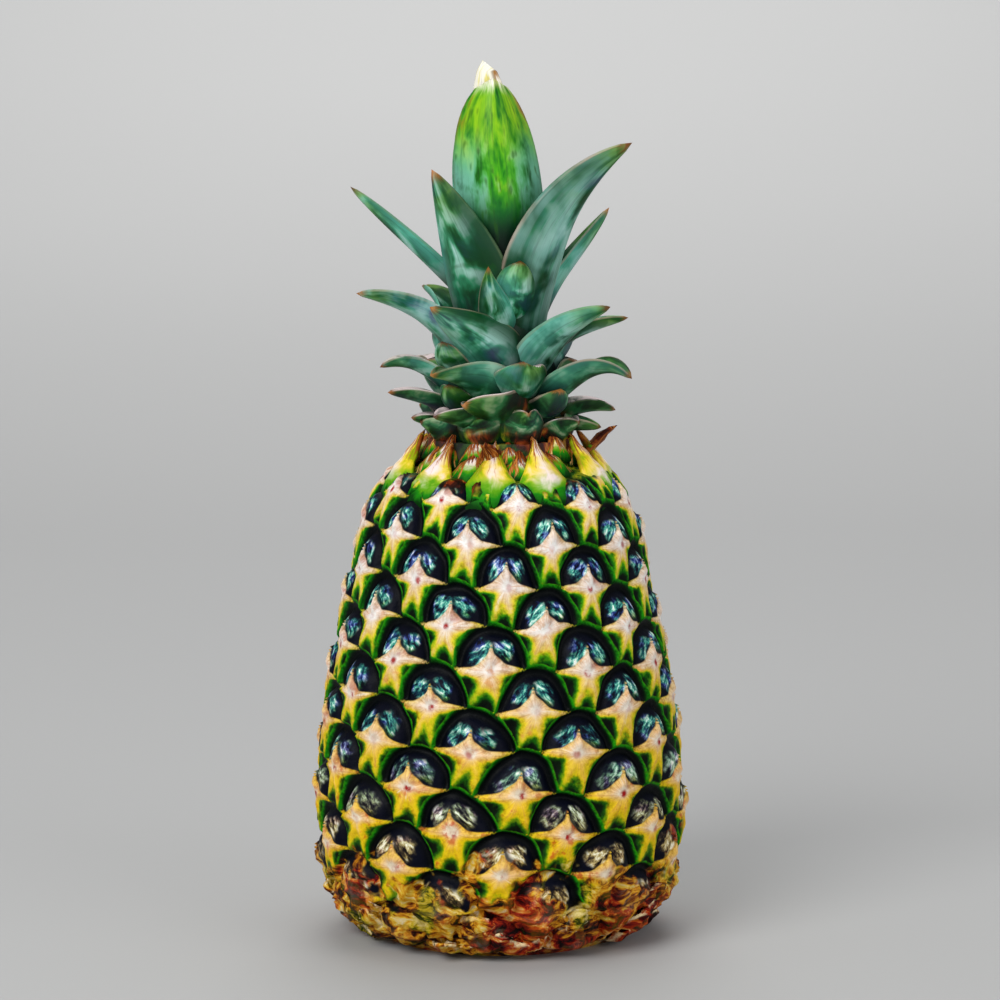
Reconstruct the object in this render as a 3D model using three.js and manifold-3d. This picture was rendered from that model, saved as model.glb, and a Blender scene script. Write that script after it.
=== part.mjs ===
// A whole pineapple standing on its base, as a three.js scene graph.
// Millimetres, +Z up, the front of the fruit towards -Y, origin at the centre of the base it stands on.
import * as THREE from "three";
import { mergeVertices } from "three/addons/utils/BufferGeometryUtils.js";
import Module from "manifold-3d";

// Driving dimensions of the fruit
const FRUIT_HEIGHT = 176; // base to the flat top of the neck, where the crown grows on
const WIDEST_RADIUS = 63; // in the grooves between the eyes, about a third of the way up
const BASE_RADIUS = 43; // outer edge of the face it stands on
const NECK_RADIUS = 25.5;
const STALK_RADIUS = 13; // the cut end of the stalk, trimmed level with the base
const STALK_GROOVE_WIDTH = 5;
const STALK_GROOVE_DEPTH = 2.6;

// The outline of the fruit between its eyes: radius and height, from the base up to the neck
const OUTLINE = [
  [BASE_RADIUS, 0],
  [0.83 * WIDEST_RADIUS, 0.038 * FRUIT_HEIGHT],
  [0.955 * WIDEST_RADIUS, 0.113 * FRUIT_HEIGHT],
  [WIDEST_RADIUS, 0.216 * FRUIT_HEIGHT],
  [0.993 * WIDEST_RADIUS, 0.341 * FRUIT_HEIGHT],
  [0.93 * WIDEST_RADIUS, 0.523 * FRUIT_HEIGHT],
  [0.834 * WIDEST_RADIUS, 0.693 * FRUIT_HEIGHT],
  [0.72 * WIDEST_RADIUS, 0.841 * FRUIT_HEIGHT],
  [0.6 * WIDEST_RADIUS, 0.915 * FRUIT_HEIGHT],
  [0.455 * WIDEST_RADIUS, 0.963 * FRUIT_HEIGHT],
  [NECK_RADIUS, FRUIT_HEIGHT],
];

// The eyes sit on one long spiral, counted down from the neck
const EYE_TURN = 34.05; // degrees to the right, from each eye to the next
const EYE_DROP = 1.34; // measured along the outline
const EYE_ZERO_TURN = 6.1; // degrees right of the front
const EYE_ZERO_DROP = 24.5; // from the neck, along the outline
const FIRST_EYE = -15;
const LAST_EYE = 124;
const EYE_AT_NECK = 0.62; // relief of the small eyes by the neck, as a share of the widest ones'
const SKIN_SUNK = 1.6; // how deep the skin's two ends lie in the core
const NECK_FADE = 3; // the relief fades out over the last of the outline at each end
const BASE_FADE = 11;
const CORE_RINGS = [0.06, 0.14, 0.3, 0.5, 0.7, 0.85, 0.95]; // where on the outline, from the base
const CORE_SIDES = 40;

// One eye on the widest part of the fruit: right, up and out from the middle of its bract, a five
// armed star whose upper arm is a point that lies over the domed cup above it
const EYE_POINTS = {
  centre: [0, 0, 3.3],
  ridge: [0, 4.4, 3.8],
  tip: [0.4, 8.6, 3.2],
  armRight: [11.2, 0.2, 1.1],
  armLeft: [-11.2, 0.4, 1.1],
  legRight: [4.4, -10.6, 0.7],
  legLeft: [-8.6, -9.4, 0.7],
  notchRight: [3.1, 2.3, 1.5],
  notchLeft: [-3.1, 2.3, 1.5],
  flankRight: [4.6, -2.6, 1.5],
  flankLeft: [-5, -2.2, 1.5],
  fork: [-1.6, -5.2, 1.6],
  domeRight: [7.2, 5.2, 2],
  domeTop: [0.4, 10.4, 1.9],
  domeLeft: [-6.8, 5.4, 2],
  rimRight: [8.2, 10.4, -0.9],
  rimTop: [0.6, 13, -0.9],
  rimLeft: [-7, 10.6, -0.9],
  seam: [2.6, 15.2, 0.7],
};

// The faces of one eye, as fans round their first point. A number after a name counts along the
// spiral to the eye that owns the point: the neighbours above are 10, 11 and 21 eyes back.
const EYE_FANS = [
  "centre ridge notchLeft armLeft flankLeft legLeft fork legRight flankRight armRight notchRight ridge",
  "tip notchLeft ridge notchRight",
  "domeRight notchRight armRight legLeft-10 rimRight domeTop tip notchRight",
  "domeLeft notchLeft tip domeTop rimLeft legRight-11 armLeft notchLeft",
  "domeTop rimRight rimTop rimLeft",
  "seam armLeft-10 legRight-21 fork-21 legLeft-21 armRight-11 rimTop armLeft-10",
  "rimLeft rimTop armRight-11 flankRight-11 legRight-11",
  "rimRight legLeft-10 flankLeft-10 armLeft-10 rimTop",
];

// Driving dimensions of the crown
const CROWN_GAP = 0.3; // between the neck's flat top and the crown's stem
const CROWN_BASE = FRUIT_HEIGHT + CROWN_GAP;
// The stem inside the leaves: radius and height
const STEM_OUTLINE = [
  [23, CROWN_BASE],
  [21.5, 186],
  [19, 204],
  [14.5, 224],
  [9, 244],
  [4, 256],
];
const STEM_TOP = 258;
const STEM_SIDES = 20;

const LEAF_THICKNESS = 1.7; // at the foot
const LEAF_THINNING = 0.45; // the share of it that is gone at the tip
const LEAF_FOOT = 0.86; // a leaf's width at its foot, as a share of its widest
const LEAF_FOOT_LENGTH = 0.35; // the share of its length over which it widens
const LEAF_ROOT = 0.62; // a leaf starts at this share of the stem's radius, unless it says another
const LEAF_BEND = 0.42; // how long the curve keeps its slope at each end, as a share of the chord
const LEAF_STATIONS = 6; // sections along a leaf
const SHORT_LEAF = 28;
const SHORT_LEAF_STATIONS = 4;
// Across a leaf, as shares of its width: right, and in towards the stem
const LEAF_SECTION = [
  [-0.5, 0.12],
  [0, -0.2],
  [0.5, 0.12],
];

const FRONT = -Math.PI / 2;
const degrees = (a) => (a * Math.PI) / 180;

const wasm = await Module();
wasm.setup();

// Turns a closed geometry into a solid that can be joined or cut
function solidFrom(geometry) {
  const bare = geometry.clone();
  bare.deleteAttribute("normal");
  bare.deleteAttribute("uv");
  const merged = mergeVertices(bare, 1e-4);
  return new wasm.Manifold(
    new wasm.Mesh({
      numProp: 3,
      vertProperties: new Float32Array(merged.attributes.position.array),
      triVerts: new Uint32Array(merged.index.array),
    }),
  );
}

// Turns a joined solid back into a geometry
function geometryFrom(solid) {
  const mesh = solid.getMesh();
  const geometry = new THREE.BufferGeometry();
  const positions = new Float32Array(mesh.numVert * 3);
  for (let i = 0; i < mesh.numVert; i += 1) {
    const start = i * mesh.numProp;
    positions.set(mesh.vertProperties.subarray(start, start + 3), i * 3);
  }
  geometry.setAttribute("position", new THREE.BufferAttribute(positions, 3));
  geometry.setIndex(new THREE.BufferAttribute(mesh.triVerts, 1));
  geometry.computeVertexNormals();
  return geometry;
}

// A geometry from a list of points and a list of triangles
function geometryOf(points, triangles) {
  const geometry = new THREE.BufferGeometry().setFromPoints(points);
  geometry.setIndex(triangles.flat());
  geometry.computeVertexNormals();
  return geometry;
}

const outline = new THREE.SplineCurve(OUTLINE.map(([r, z]) => new THREE.Vector2(r, z)));
const outlineLength = outline.getLength();

// A point of the skin: so far down the outline from the neck, and so high above it
function skinPoint(turn, drop, height) {
  const fromBase = outlineLength - drop;
  const share = THREE.MathUtils.clamp(fromBase / outlineLength, 0, 1);
  const { x: radius, y: level } = outline.getPointAt(share);
  const tangent = outline.getTangentAt(share);
  const fade =
    THREE.MathUtils.smoothstep(drop, 0, NECK_FADE) * THREE.MathUtils.smoothstep(fromBase, 0, BASE_FADE);
  const size = THREE.MathUtils.mapLinear(radius, NECK_RADIUS, WIDEST_RADIUS, EYE_AT_NECK, 1);
  const out = height * size * fade - SKIN_SUNK * (1 - fade);
  const reach = radius + tangent.y * out;
  const angle = FRONT + turn;
  return new THREE.Vector3(
    reach * Math.cos(angle),
    reach * Math.sin(angle),
    Math.max(level - tangent.x * out, SKIN_SUNK / 2),
  );
}

// The skin: the same points and faces for every eye, closed inside by a hub at each end
function skinGeometry() {
  const points = [];
  const triangles = [];
  const seen = new Map();
  const corner = (word, eye) => {
    const [, name, step] = word.match(/^([a-zA-Z]+)(-\d+)?$/);
    const index = eye + Number(step ?? 0);
    const key = `${name} ${index}`;
    if (!seen.has(key)) {
      const [right, up, out] = EYE_POINTS[name];
      const turn = degrees(EYE_ZERO_TURN + index * EYE_TURN) + right / WIDEST_RADIUS;
      seen.set(key, points.push(skinPoint(turn, EYE_ZERO_DROP + index * EYE_DROP - up, out)) - 1);
    }
    return seen.get(key);
  };
  for (let eye = FIRST_EYE; eye <= LAST_EYE; eye += 1) {
    EYE_FANS.forEach((fan) => {
      const [hub, ...ring] = fan.split(" ").map((word) => corner(word, eye));
      for (let k = 0; k < ring.length - 1; k += 1) triangles.push([hub, ring[k], ring[k + 1]]);
    });
  }
  const edges = triangles.flatMap(([a, b, c]) => [`${a} ${b}`, `${b} ${c}`, `${c} ${a}`]);
  const used = new Set(edges);
  const neckHub = points.push(new THREE.Vector3(0, 0, 0.9 * FRUIT_HEIGHT)) - 1;
  const baseHub = points.push(new THREE.Vector3(0, 0, 0.1 * FRUIT_HEIGHT)) - 1;
  edges.forEach((edge) => {
    const [a, b] = edge.split(" ").map(Number);
    if (used.has(`${b} ${a}`)) return;
    triangles.push([b, a, points[a].z > FRUIT_HEIGHT / 2 ? neckHub : baseHub]);
  });
  return geometryOf(points, triangles);
}

// The core that the skin covers, which shows at the base, the cut stalk and the neck's flat top
function coreGeometry() {
  const inner = CORE_RINGS.map((share) => {
    const point = outline.getPointAt(share);
    return new THREE.Vector2(point.x - 2 * SKIN_SUNK, point.y);
  });
  const profile = [
    new THREE.Vector2(0, 0),
    new THREE.Vector2(STALK_RADIUS, 0),
    new THREE.Vector2(STALK_RADIUS + STALK_GROOVE_WIDTH / 3, STALK_GROOVE_DEPTH),
    new THREE.Vector2(STALK_RADIUS + STALK_GROOVE_WIDTH, 0),
    new THREE.Vector2(BASE_RADIUS, 0),
    ...inner,
    new THREE.Vector2(NECK_RADIUS, FRUIT_HEIGHT),
    new THREE.Vector2(0, FRUIT_HEIGHT),
  ];
  return new THREE.LatheGeometry(profile, CORE_SIDES).rotateX(Math.PI / 2);
}

// How a leaf's width runs out towards its tip: the width share is (1 - share ** run) ** end
const POINTED = { run: 2, end: 0.85 };
const ROUNDED = { run: 5, end: 0.6 };
const SPEAR = { run: 4, end: 0.75 };

// The leaves that show at the front, from the lowest up. Each grows from the stem at a turn
// (degrees right of the front) and a height, and ends in a tip that is so far right, front and up.
// rise and fall are its slopes at the foot and at the tip, in degrees.
const FRONT_LEAVES = [
  { turn: 82, height: 180, tip: [35.5, 6, 180], width: 16, rise: 25, fall: -5, shape: POINTED },
  { turn: -62, height: 179, tip: [-31, 12, 184], width: 16, rise: 40, fall: 10, shape: POINTED },
  { turn: -12, height: 179, tip: [-23, 29, 186], width: 22, rise: 40, fall: 0, shape: POINTED },
  { turn: 18, height: 180, tip: [-13, 33, 190.5], width: 27, rise: 60, fall: 15, shape: POINTED },
  { turn: 52, height: 182, tip: [21, 21, 195], width: 17, rise: 75, fall: 95, shape: ROUNDED },
  { turn: -52, height: 183, tip: [-18, 20, 196.5], width: 15, rise: 80, fall: 95, shape: ROUNDED },
  { turn: -72, height: 184, tip: [-39, 14, 193], width: 16, rise: 40, fall: 5, shape: POINTED },
  { turn: -2, height: 187, tip: [-24, 32, 200.5], width: 23, rise: 55, fall: -5, shape: POINTED },
  { turn: -80, height: 190, tip: [-42, 6, 201], width: 16, rise: 50, fall: -25, shape: POINTED },
  { turn: 58, height: 186, tip: [45.5, 22, 198.5], width: 21, rise: 45, fall: -40, shape: POINTED },
  { turn: 24, height: 188, tip: [8, 27, 205], width: 20, rise: 70, fall: 105, shape: ROUNDED },
  { turn: -58, height: 194, tip: [-20, 16, 211], width: 16, rise: 75, fall: 100, shape: ROUNDED },
  { turn: 84, height: 204, tip: [45, 0, 218], width: 15, rise: 45, fall: 10, shape: POINTED },
  { turn: 46, height: 197, tip: [38, 24, 223.5], width: 23, rise: 62, fall: 20, shape: POINTED },
  { turn: 16, height: 196, tip: [-24, 31, 224], width: 22, rise: 62, fall: 35, shape: POINTED },
  { turn: -66, height: 204, tip: [-50, 8, 227], width: 22, rise: 60, fall: 5, shape: POINTED },
  { turn: 4, height: 207, tip: [-4, 25, 237.5], width: 15, rise: 80, fall: 88, shape: POINTED },
  { turn: 26, height: 214, tip: [7, 18, 239], width: 18, rise: 80, fall: 100, shape: ROUNDED },
  { turn: 96, height: 212, tip: [38.5, -12, 256], width: 17, rise: 78, fall: 55, shape: POINTED },
  { turn: -84, height: 224, tip: [-52.5, -6, 263.5], width: 16, rise: 50, fall: 42, shape: POINTED },
  { turn: -30, height: 213, tip: [-23.5, 20, 270.5], width: 24, rise: 80, fall: 70, shape: POINTED },
  { turn: 50, height: 214, tip: [45.5, 16, 279.5], width: 26, rise: 80, fall: 35, shape: POINTED },
];
// The youngest leaves, which stand wrapped round each other
const HEART_LEAVES = [
  { turn: 178, height: 228, tip: [-3, -7, 299], width: 26, rise: 84, fall: 97, shape: SPEAR },
  { turn: -95, height: 228, tip: [-6.5, -1, 307.5], width: 27, rise: 88, fall: 97, shape: SPEAR },
  { turn: 12, height: 228, tip: [-2, 6, 302], width: 29, rise: 84, fall: 97, shape: SPEAR },
];

// The leaves at the back, the lowest and the highest of them: they share out the room on both
// sides of the middle of the back, and low ones spread while high ones are long and steep
const LOW_BACK_LEAF = { spread: 84, height: 180, reach: 41, lift: 5, width: 18, rise: 42, fall: -20 };
const HIGH_BACK_LEAF = { spread: 18, height: 220, reach: 35, lift: 55, width: 24, rise: 82, fall: 50 };
const BACK_LEAVES = 18;
const GOLDEN = 0.618034; // each next leaf moves on by this share of the room

function backLeaf(index) {
  const up = index / (BACK_LEAVES - 1);
  const at = (key) => THREE.MathUtils.lerp(LOW_BACK_LEAF[key], HIGH_BACK_LEAF[key], up);
  const turn = 180 + at("spread") * (2 * ((index * GOLDEN) % 1) - 1);
  return leafTowards(turn, at("height"), at("reach"), at("lift"), {
    width: at("width"),
    rise: at("rise"),
    fall: at("fall"),
    shape: POINTED,
  });
}

// The small dry bracts where the fruit's top meets the crown, long and short by turns
const COLLAR_BRACTS = 9;
const COLLAR_TURN = 20;
const COLLAR_HEIGHT = 177;
const COLLAR_TIPS = [
  { reach: 29, lift: 10 },
  { reach: 32, lift: 6 },
];
const COLLAR_BRACT = { root: 0.94, width: 19, rise: 70, fall: 15, shape: POINTED };

function collarBract(index) {
  const { reach, lift } = COLLAR_TIPS[index % COLLAR_TIPS.length];
  const turn = COLLAR_TURN + (index * 360) / COLLAR_BRACTS;
  return leafTowards(turn, COLLAR_HEIGHT, reach, lift, COLLAR_BRACT);
}

// A leaf whose tip lies straight out from its foot, so far from the crown's axis
function leafTowards(turn, height, reach, lift, form) {
  const angle = degrees(turn);
  return { turn, height, tip: [reach * Math.sin(angle), reach * Math.cos(angle), height + lift], ...form };
}

const stemCurve = STEM_OUTLINE.map(([r, z]) => new THREE.Vector2(r, z));

// The stem's radius at a height
function stemRadius(height) {
  const above = stemCurve.findIndex((p) => p.y >= height);
  if (above <= 0) return stemCurve[0].x;
  const a = stemCurve[above - 1];
  const b = stemCurve[above];
  return THREE.MathUtils.mapLinear(height, a.y, b.y, a.x, b.x);
}

// The outward direction at a turn from the front
function outward(turn) {
  const angle = FRONT + degrees(turn);
  return new THREE.Vector3(Math.cos(angle), Math.sin(angle), 0);
}

// The line down the middle of a leaf
function midrib(leaf) {
  const out = outward(leaf.turn);
  const foot = out.clone().multiplyScalar(stemRadius(leaf.height) * (leaf.root ?? LEAF_ROOT));
  foot.setZ(leaf.height);
  const tip = new THREE.Vector3(leaf.tip[0], -leaf.tip[1], leaf.tip[2]);
  const chord = tip.clone().sub(foot);
  const handle = chord.length() * LEAF_BEND;
  const tipOut = chord.clone().setZ(0).normalize();
  const footOut = out.clone().add(tipOut).normalize();
  const slope = (direction, angle) =>
    direction.clone().multiplyScalar(Math.cos(degrees(angle))).setZ(Math.sin(degrees(angle)));
  return new THREE.CubicBezierCurve3(
    foot,
    foot.clone().addScaledVector(slope(footOut, leaf.rise), handle),
    tip.clone().addScaledVector(slope(tipOut, leaf.fall), -handle),
    tip,
  );
}

// A leaf's width along its length, as a share of its widest
function leafWidth(share, shape) {
  const widening = THREE.MathUtils.smoothstep(share, 0, LEAF_FOOT_LENGTH);
  return THREE.MathUtils.lerp(LEAF_FOOT, 1, widening) * (1 - share ** shape.run) ** shape.end;
}

// One leaf: a channelled blade that is hollow towards the stem and ends in a point
function leafGeometry(leaf) {
  const curve = midrib(leaf);
  const side = outward(leaf.turn + 90);
  const points = [];
  const triangles = [];
  const around = LEAF_SECTION.length * 2;
  const stations = curve.getLength() < SHORT_LEAF ? SHORT_LEAF_STATIONS : LEAF_STATIONS;
  for (let k = 0; k < stations; k += 1) {
    const share = k / stations;
    const centre = curve.getPoint(share);
    const along = curve.getTangent(share);
    const across = side.clone().addScaledVector(along, -side.dot(along)).normalize();
    const inward = along.clone().cross(across);
    const width = leaf.width * leafWidth(share, leaf.shape);
    const thick = LEAF_THICKNESS * (1 - LEAF_THINNING * share);
    const at = (x, y) => centre.clone().addScaledVector(across, x).addScaledVector(inward, y);
    LEAF_SECTION.forEach(([x, y]) => points.push(at(x * width, y * width - thick / 2)));
    [...LEAF_SECTION].reverse().forEach(([x, y]) => {
      points.push(at(x * (width - thick), y * (width - thick) + thick / 2));
    });
  }
  const tip = points.push(curve.getPoint(1)) - 1;
  for (let m = 0; m < around; m += 1) {
    const next = (m + 1) % around;
    for (let k = 0; k < stations - 1; k += 1) {
      const [a, b] = [k * around + m, k * around + next];
      const [c, d] = [b + around, a + around];
      triangles.push([a, b, c], [a, c, d]);
    }
    const last = (stations - 1) * around;
    triangles.push([last + m, last + next, tip]);
    if (m > 0 && m < around - 1) triangles.push([0, m + 1, m]);
  }
  return geometryOf(points, triangles);
}

// The crown: its stem with every leaf fused on
function crownGeometry() {
  const profile = [new THREE.Vector2(0, CROWN_BASE), ...stemCurve, new THREE.Vector2(0, STEM_TOP)];
  const stem = new THREE.LatheGeometry(profile, STEM_SIDES).rotateX(Math.PI / 2);
  const leaves = [...FRONT_LEAVES, ...HEART_LEAVES];
  for (let index = 0; index < BACK_LEAVES; index += 1) leaves.push(backLeaf(index));
  for (let index = 0; index < COLLAR_BRACTS; index += 1) leaves.push(collarBract(index));
  let crown = solidFrom(stem);
  leaves.forEach((leaf) => {
    crown = crown.add(solidFrom(leafGeometry(leaf)));
  });
  const above = new THREE.BoxGeometry(4 * WIDEST_RADIUS, 4 * WIDEST_RADIUS, FRUIT_HEIGHT);
  crown = crown.intersect(solidFrom(above.translate(0, 0, CROWN_BASE + FRUIT_HEIGHT / 2)));
  // Pockets that the leaves close off inside are filled: only the outer body is kept
  const bodies = crown.decompose();
  return geometryFrom(bodies.reduce((a, b) => (a.volume() > b.volume() ? a : b)));
}

function fruit() {
  const material = new THREE.MeshStandardMaterial({ color: 0xc9b64a, roughness: 0.55, metalness: 0 });
  const solid = solidFrom(coreGeometry()).add(solidFrom(skinGeometry()));
  const mesh = new THREE.Mesh(geometryFrom(solid), material);
  mesh.name = "fruit";
  return mesh;
}

function crown() {
  const material = new THREE.MeshStandardMaterial({ color: 0x3f8f6c, roughness: 0.5, metalness: 0 });
  const mesh = new THREE.Mesh(crownGeometry(), material);
  mesh.name = "crown";
  return mesh;
}

const pineapple = new THREE.Group();
pineapple.add(fruit(), crown());

export default pineapple;
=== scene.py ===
# %% [markdown]
# # A whole pineapple, dressed for the camera
# The solids say where the fruit and its crown are, how large they are and what carries them.
# This lesson puts the finish on them: a rind of star shaped bracts over dark domed cups, rolled
# out of one small tile by Geometry Nodes, and a crown of thick channelled leaves.
# Everything is in metres, with +Z up and the front of the fruit towards -Y.

# %% The frame
import math

import bmesh
import bpy
import numpy as np
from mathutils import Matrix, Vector


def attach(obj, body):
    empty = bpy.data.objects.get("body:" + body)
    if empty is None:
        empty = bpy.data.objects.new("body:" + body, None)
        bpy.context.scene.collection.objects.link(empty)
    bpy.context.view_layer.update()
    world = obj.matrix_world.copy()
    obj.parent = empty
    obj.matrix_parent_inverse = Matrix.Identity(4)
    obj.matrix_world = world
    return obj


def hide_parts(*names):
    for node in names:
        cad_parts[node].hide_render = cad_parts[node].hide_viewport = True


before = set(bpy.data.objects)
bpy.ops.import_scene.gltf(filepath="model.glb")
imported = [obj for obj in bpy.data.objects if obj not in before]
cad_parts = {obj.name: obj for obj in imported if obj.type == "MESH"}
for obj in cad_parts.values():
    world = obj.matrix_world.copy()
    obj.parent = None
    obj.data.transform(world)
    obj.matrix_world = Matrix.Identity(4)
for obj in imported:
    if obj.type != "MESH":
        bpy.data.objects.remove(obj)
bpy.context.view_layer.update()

MM = 0.001

# %% [markdown]
# ## Helpers for node trees
# A node tree reads better as a few lines of sums than as a web of links, so this small class adds
# one node for each call and hands back its output. A value may be a number or another output.
# The same class writes materials and geometry trees, because both know the Math nodes.


# %% Helper: a node tree written as sums
def linear(red, green, blue):
    """A colour as Cycles wants it, from the 0 to 255 values that a colour picker shows."""
    shares = [channel / 255 for channel in (red, green, blue)]
    return tuple(s / 12.92 if s <= 0.04045 else ((s + 0.055) / 1.055) ** 2.4 for s in shares) + (1.0,)


class Sums:
    """Adds nodes to one tree. Each call gives back the socket that holds its result."""

    def __init__(self, tree):
        self.tree = tree

    def node(self, kind, inputs=(), **settings):
        node = self.tree.nodes.new(kind)
        for name, value in settings.items():
            setattr(node, name, value)
        for name, value in dict(inputs).items():
            self.put(node.inputs[name], value)
        return node

    def put(self, socket, value):
        if isinstance(value, bpy.types.NodeSocket):
            self.tree.links.new(value, socket)
        else:
            socket.default_value = value

    def math(self, operation, *values):
        return self.node("ShaderNodeMath", enumerate(values), operation=operation).outputs[0]

    def plus(self, first, second):
        return self.math("ADD", first, second)

    def minus(self, first, second):
        return self.math("SUBTRACT", first, second)

    def times(self, first, *factors):
        """The product of all the values."""
        for factor in factors:
            first = self.math("MULTIPLY", first, factor)
        return first

    def drift(self, value, noise, reach):
        """The value, carried up or down by a noise that lies round a half."""
        return self.math("MULTIPLY_ADD", self.minus(noise, 0.5), reach, value)

    def vector(self, operation, *values):
        made = self.node("ShaderNodeVectorMath", enumerate(values), operation=operation)
        return made.outputs["Value" if operation in ("LENGTH", "DOT_PRODUCT", "DISTANCE") else "Vector"]

    def between(self, value, low, high, to_low=0.0, to_high=1.0):
        """Goes smoothly from to_low, where the value is low, to to_high, where it is high."""
        inputs = {"Value": value, "From Min": low, "From Max": high, "To Min": to_low, "To Max": to_high}
        return self.node("ShaderNodeMapRange", inputs, interpolation_type="SMOOTHSTEP").outputs[0]

    def ramp(self, value, *stops):
        """A colour ramp; each stop is a place from 0 to 1 and the red, green and blue there."""
        node = self.node("ShaderNodeValToRGB", {"Fac": value})
        elements = node.color_ramp.elements
        while len(elements) < len(stops):
            elements.new(1.0)
        for element, (place, *colour) in zip(elements, stops):
            element.position = place
            element.color = linear(*colour)
        return node.outputs["Color"]

    def mix(self, share, first, second, blend="MIX"):
        node = self.node("ShaderNodeMix", data_type="RGBA", blend_type=blend)
        for index, value in ((0, share), (6, first), (7, second)):
            self.put(node.inputs[index], value)
        return node.outputs[2]

    def cover(self, paint, colour, *shares):
        """The paint under a colour or a second paint, which covers the product of the shares."""
        return self.mix(self.times(*shares), paint, colour)

    def noise(self, place, scale, detail=3.0, roughness=0.55, distortion=0.0, colour=False):
        inputs = {"Vector": place, "Scale": scale, "Detail": detail, "Roughness": roughness}
        node = self.node("ShaderNodeTexNoise", {**inputs, "Distortion": distortion})
        return node.outputs["Color" if colour else "Fac"]

    def chance(self, number, offset=0.0):
        """A fixed random value from 0 to 1 for each number."""
        seed = self.math("ADD", number, offset)
        return self.node("ShaderNodeTexWhiteNoise", {"W": seed}, noise_dimensions="1D").outputs["Value"]

    def place(self, x, y, z=0.0):
        return self.node("ShaderNodeCombineXYZ", enumerate((x, y, z))).outputs[0]

    def parts(self, vector):
        return self.node("ShaderNodeSeparateXYZ", {0: vector}).outputs

    def attribute(self, name, output="Fac"):
        return self.node("ShaderNodeAttribute", attribute_name=name).outputs[output]


def new_material(name):
    """An empty material with its Sums and its Principled shader."""
    material = bpy.data.materials.new(name)
    material.use_nodes = True
    tree = material.node_tree
    return material, Sums(tree), tree.nodes["Principled BSDF"]


def bumped(sums, height, strength, distance):
    inputs = {"Height": height, "Strength": strength, "Distance": distance}
    return sums.node("ShaderNodeBump", inputs).outputs["Normal"]


# %% [markdown]
# ## The outline of the fruit
# The solids were made from a short list of radii and heights with a smooth curve through them.
# The same list is repeated here, so the fine rind lies exactly where the plain one does.

# %% The outline of the fruit, in millimetres
FRUIT_HEIGHT = 176
WIDEST_RADIUS = 63
BASE_RADIUS = 43
NECK_RADIUS = 25.5
OUTLINE = [
    (BASE_RADIUS, 0),
    (0.83 * WIDEST_RADIUS, 0.038 * FRUIT_HEIGHT),
    (0.955 * WIDEST_RADIUS, 0.113 * FRUIT_HEIGHT),
    (WIDEST_RADIUS, 0.216 * FRUIT_HEIGHT),
    (0.993 * WIDEST_RADIUS, 0.341 * FRUIT_HEIGHT),
    (0.93 * WIDEST_RADIUS, 0.523 * FRUIT_HEIGHT),
    (0.834 * WIDEST_RADIUS, 0.693 * FRUIT_HEIGHT),
    (0.72 * WIDEST_RADIUS, 0.841 * FRUIT_HEIGHT),
    (0.6 * WIDEST_RADIUS, 0.915 * FRUIT_HEIGHT),
    (0.455 * WIDEST_RADIUS, 0.963 * FRUIT_HEIGHT),
    (NECK_RADIUS, FRUIT_HEIGHT),
]


def smooth_line(points, steps=40):
    """A Catmull-Rom curve through the points, as a polyline."""
    points = np.array(points, float)
    padded = np.vstack([points[:1], points, points[-1:]])
    share = np.linspace(0, 1, steps, endpoint=False)[:, None]
    pieces = []
    for before, start, end, after in zip(padded, padded[1:], padded[2:], padded[3:]):
        leave = (end - before) / 2
        arrive = (after - start) / 2
        cubic = (2 * start - 2 * end + leave + arrive) * share**3
        square = (3 * end - 3 * start - 2 * leave - arrive) * share**2
        pieces.append(cubic + square + leave * share + start)
    return np.vstack(pieces + [points[-1:]])


outline = smooth_line(OUTLINE)
outline_steps = np.linalg.norm(np.diff(outline, axis=0), axis=1)
OUTLINE_LENGTH = outline_steps.sum()
print("outline:", len(outline), "points,", round(OUTLINE_LENGTH, 1), "mm long")


# %% Helper: a mesh piece from arrays
def new_piece(name, points, faces, material, smooth=True):
    """A mesh object at the origin, from points in millimetres."""
    mesh = bpy.data.meshes.new(name)
    mesh.from_pydata((np.asarray(points) * MM).tolist(), [], [list(map(int, face)) for face in faces])
    mesh.materials.append(material)
    mesh.shade_smooth() if smooth else mesh.shade_flat()
    piece = bpy.data.objects.new(name, mesh)
    bpy.context.collection.objects.link(piece)
    return piece


def set_attribute(mesh, name, kind, domain, values):
    """Writes one attribute of a mesh; kind is FLOAT, INT or FLOAT2."""
    attribute = mesh.attributes.new(name, kind, domain)
    dtype = np.int32 if kind == "INT" else np.float32
    field = "vector" if kind == "FLOAT2" else "value"
    attribute.data.foreach_set(field, np.asarray(values, dtype).ravel())


# %% [markdown]
# ## One eye of the fruit
# Each eye of a pineapple is a domed cup with a papery bract below it. Here the bract is a five
# armed star: its top arm is the point that lies over its own cup, its side arms run along the
# cup's lower edge, and its two legs run down between the cups below.
# The eyes follow one long spiral, so on the unrolled rind they form a lattice: the next eye up to
# the right is 10 back along the spiral, and the next one up to the left is 11 back. One tile of
# that lattice repeats over the whole fruit, and a formula gives its height at every point.

# %% The lattice of the eyes, in millimetres on the unrolled rind
EYE_TURN = 34.03
EYE_DROP = 1.32
EYE_ZERO_TURN = 7.1
EYE_ZERO_DROP = 26.8
FIRST_EYE = -21
EYES = 168
EYE_AT_NECK = 0.62
SKIN_SUNK = 1.6
NECK_FADE = (8, 19)
SHIFT_FADE = 8
BASE_FADE = 11
# Heights between which the shoulder swells, with its fullest in the middle
SHOULDER = (118, 155, 172)


def eye_step(back):
    """Where the eye so many back along the spiral lies: right and up."""
    turn = (-back * EYE_TURN + 180) % 360 - 180
    return np.array([math.radians(turn) * WIDEST_RADIUS, back * EYE_DROP])


TO_RIGHT = eye_step(10)
TO_LEFT = eye_step(11)
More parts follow.
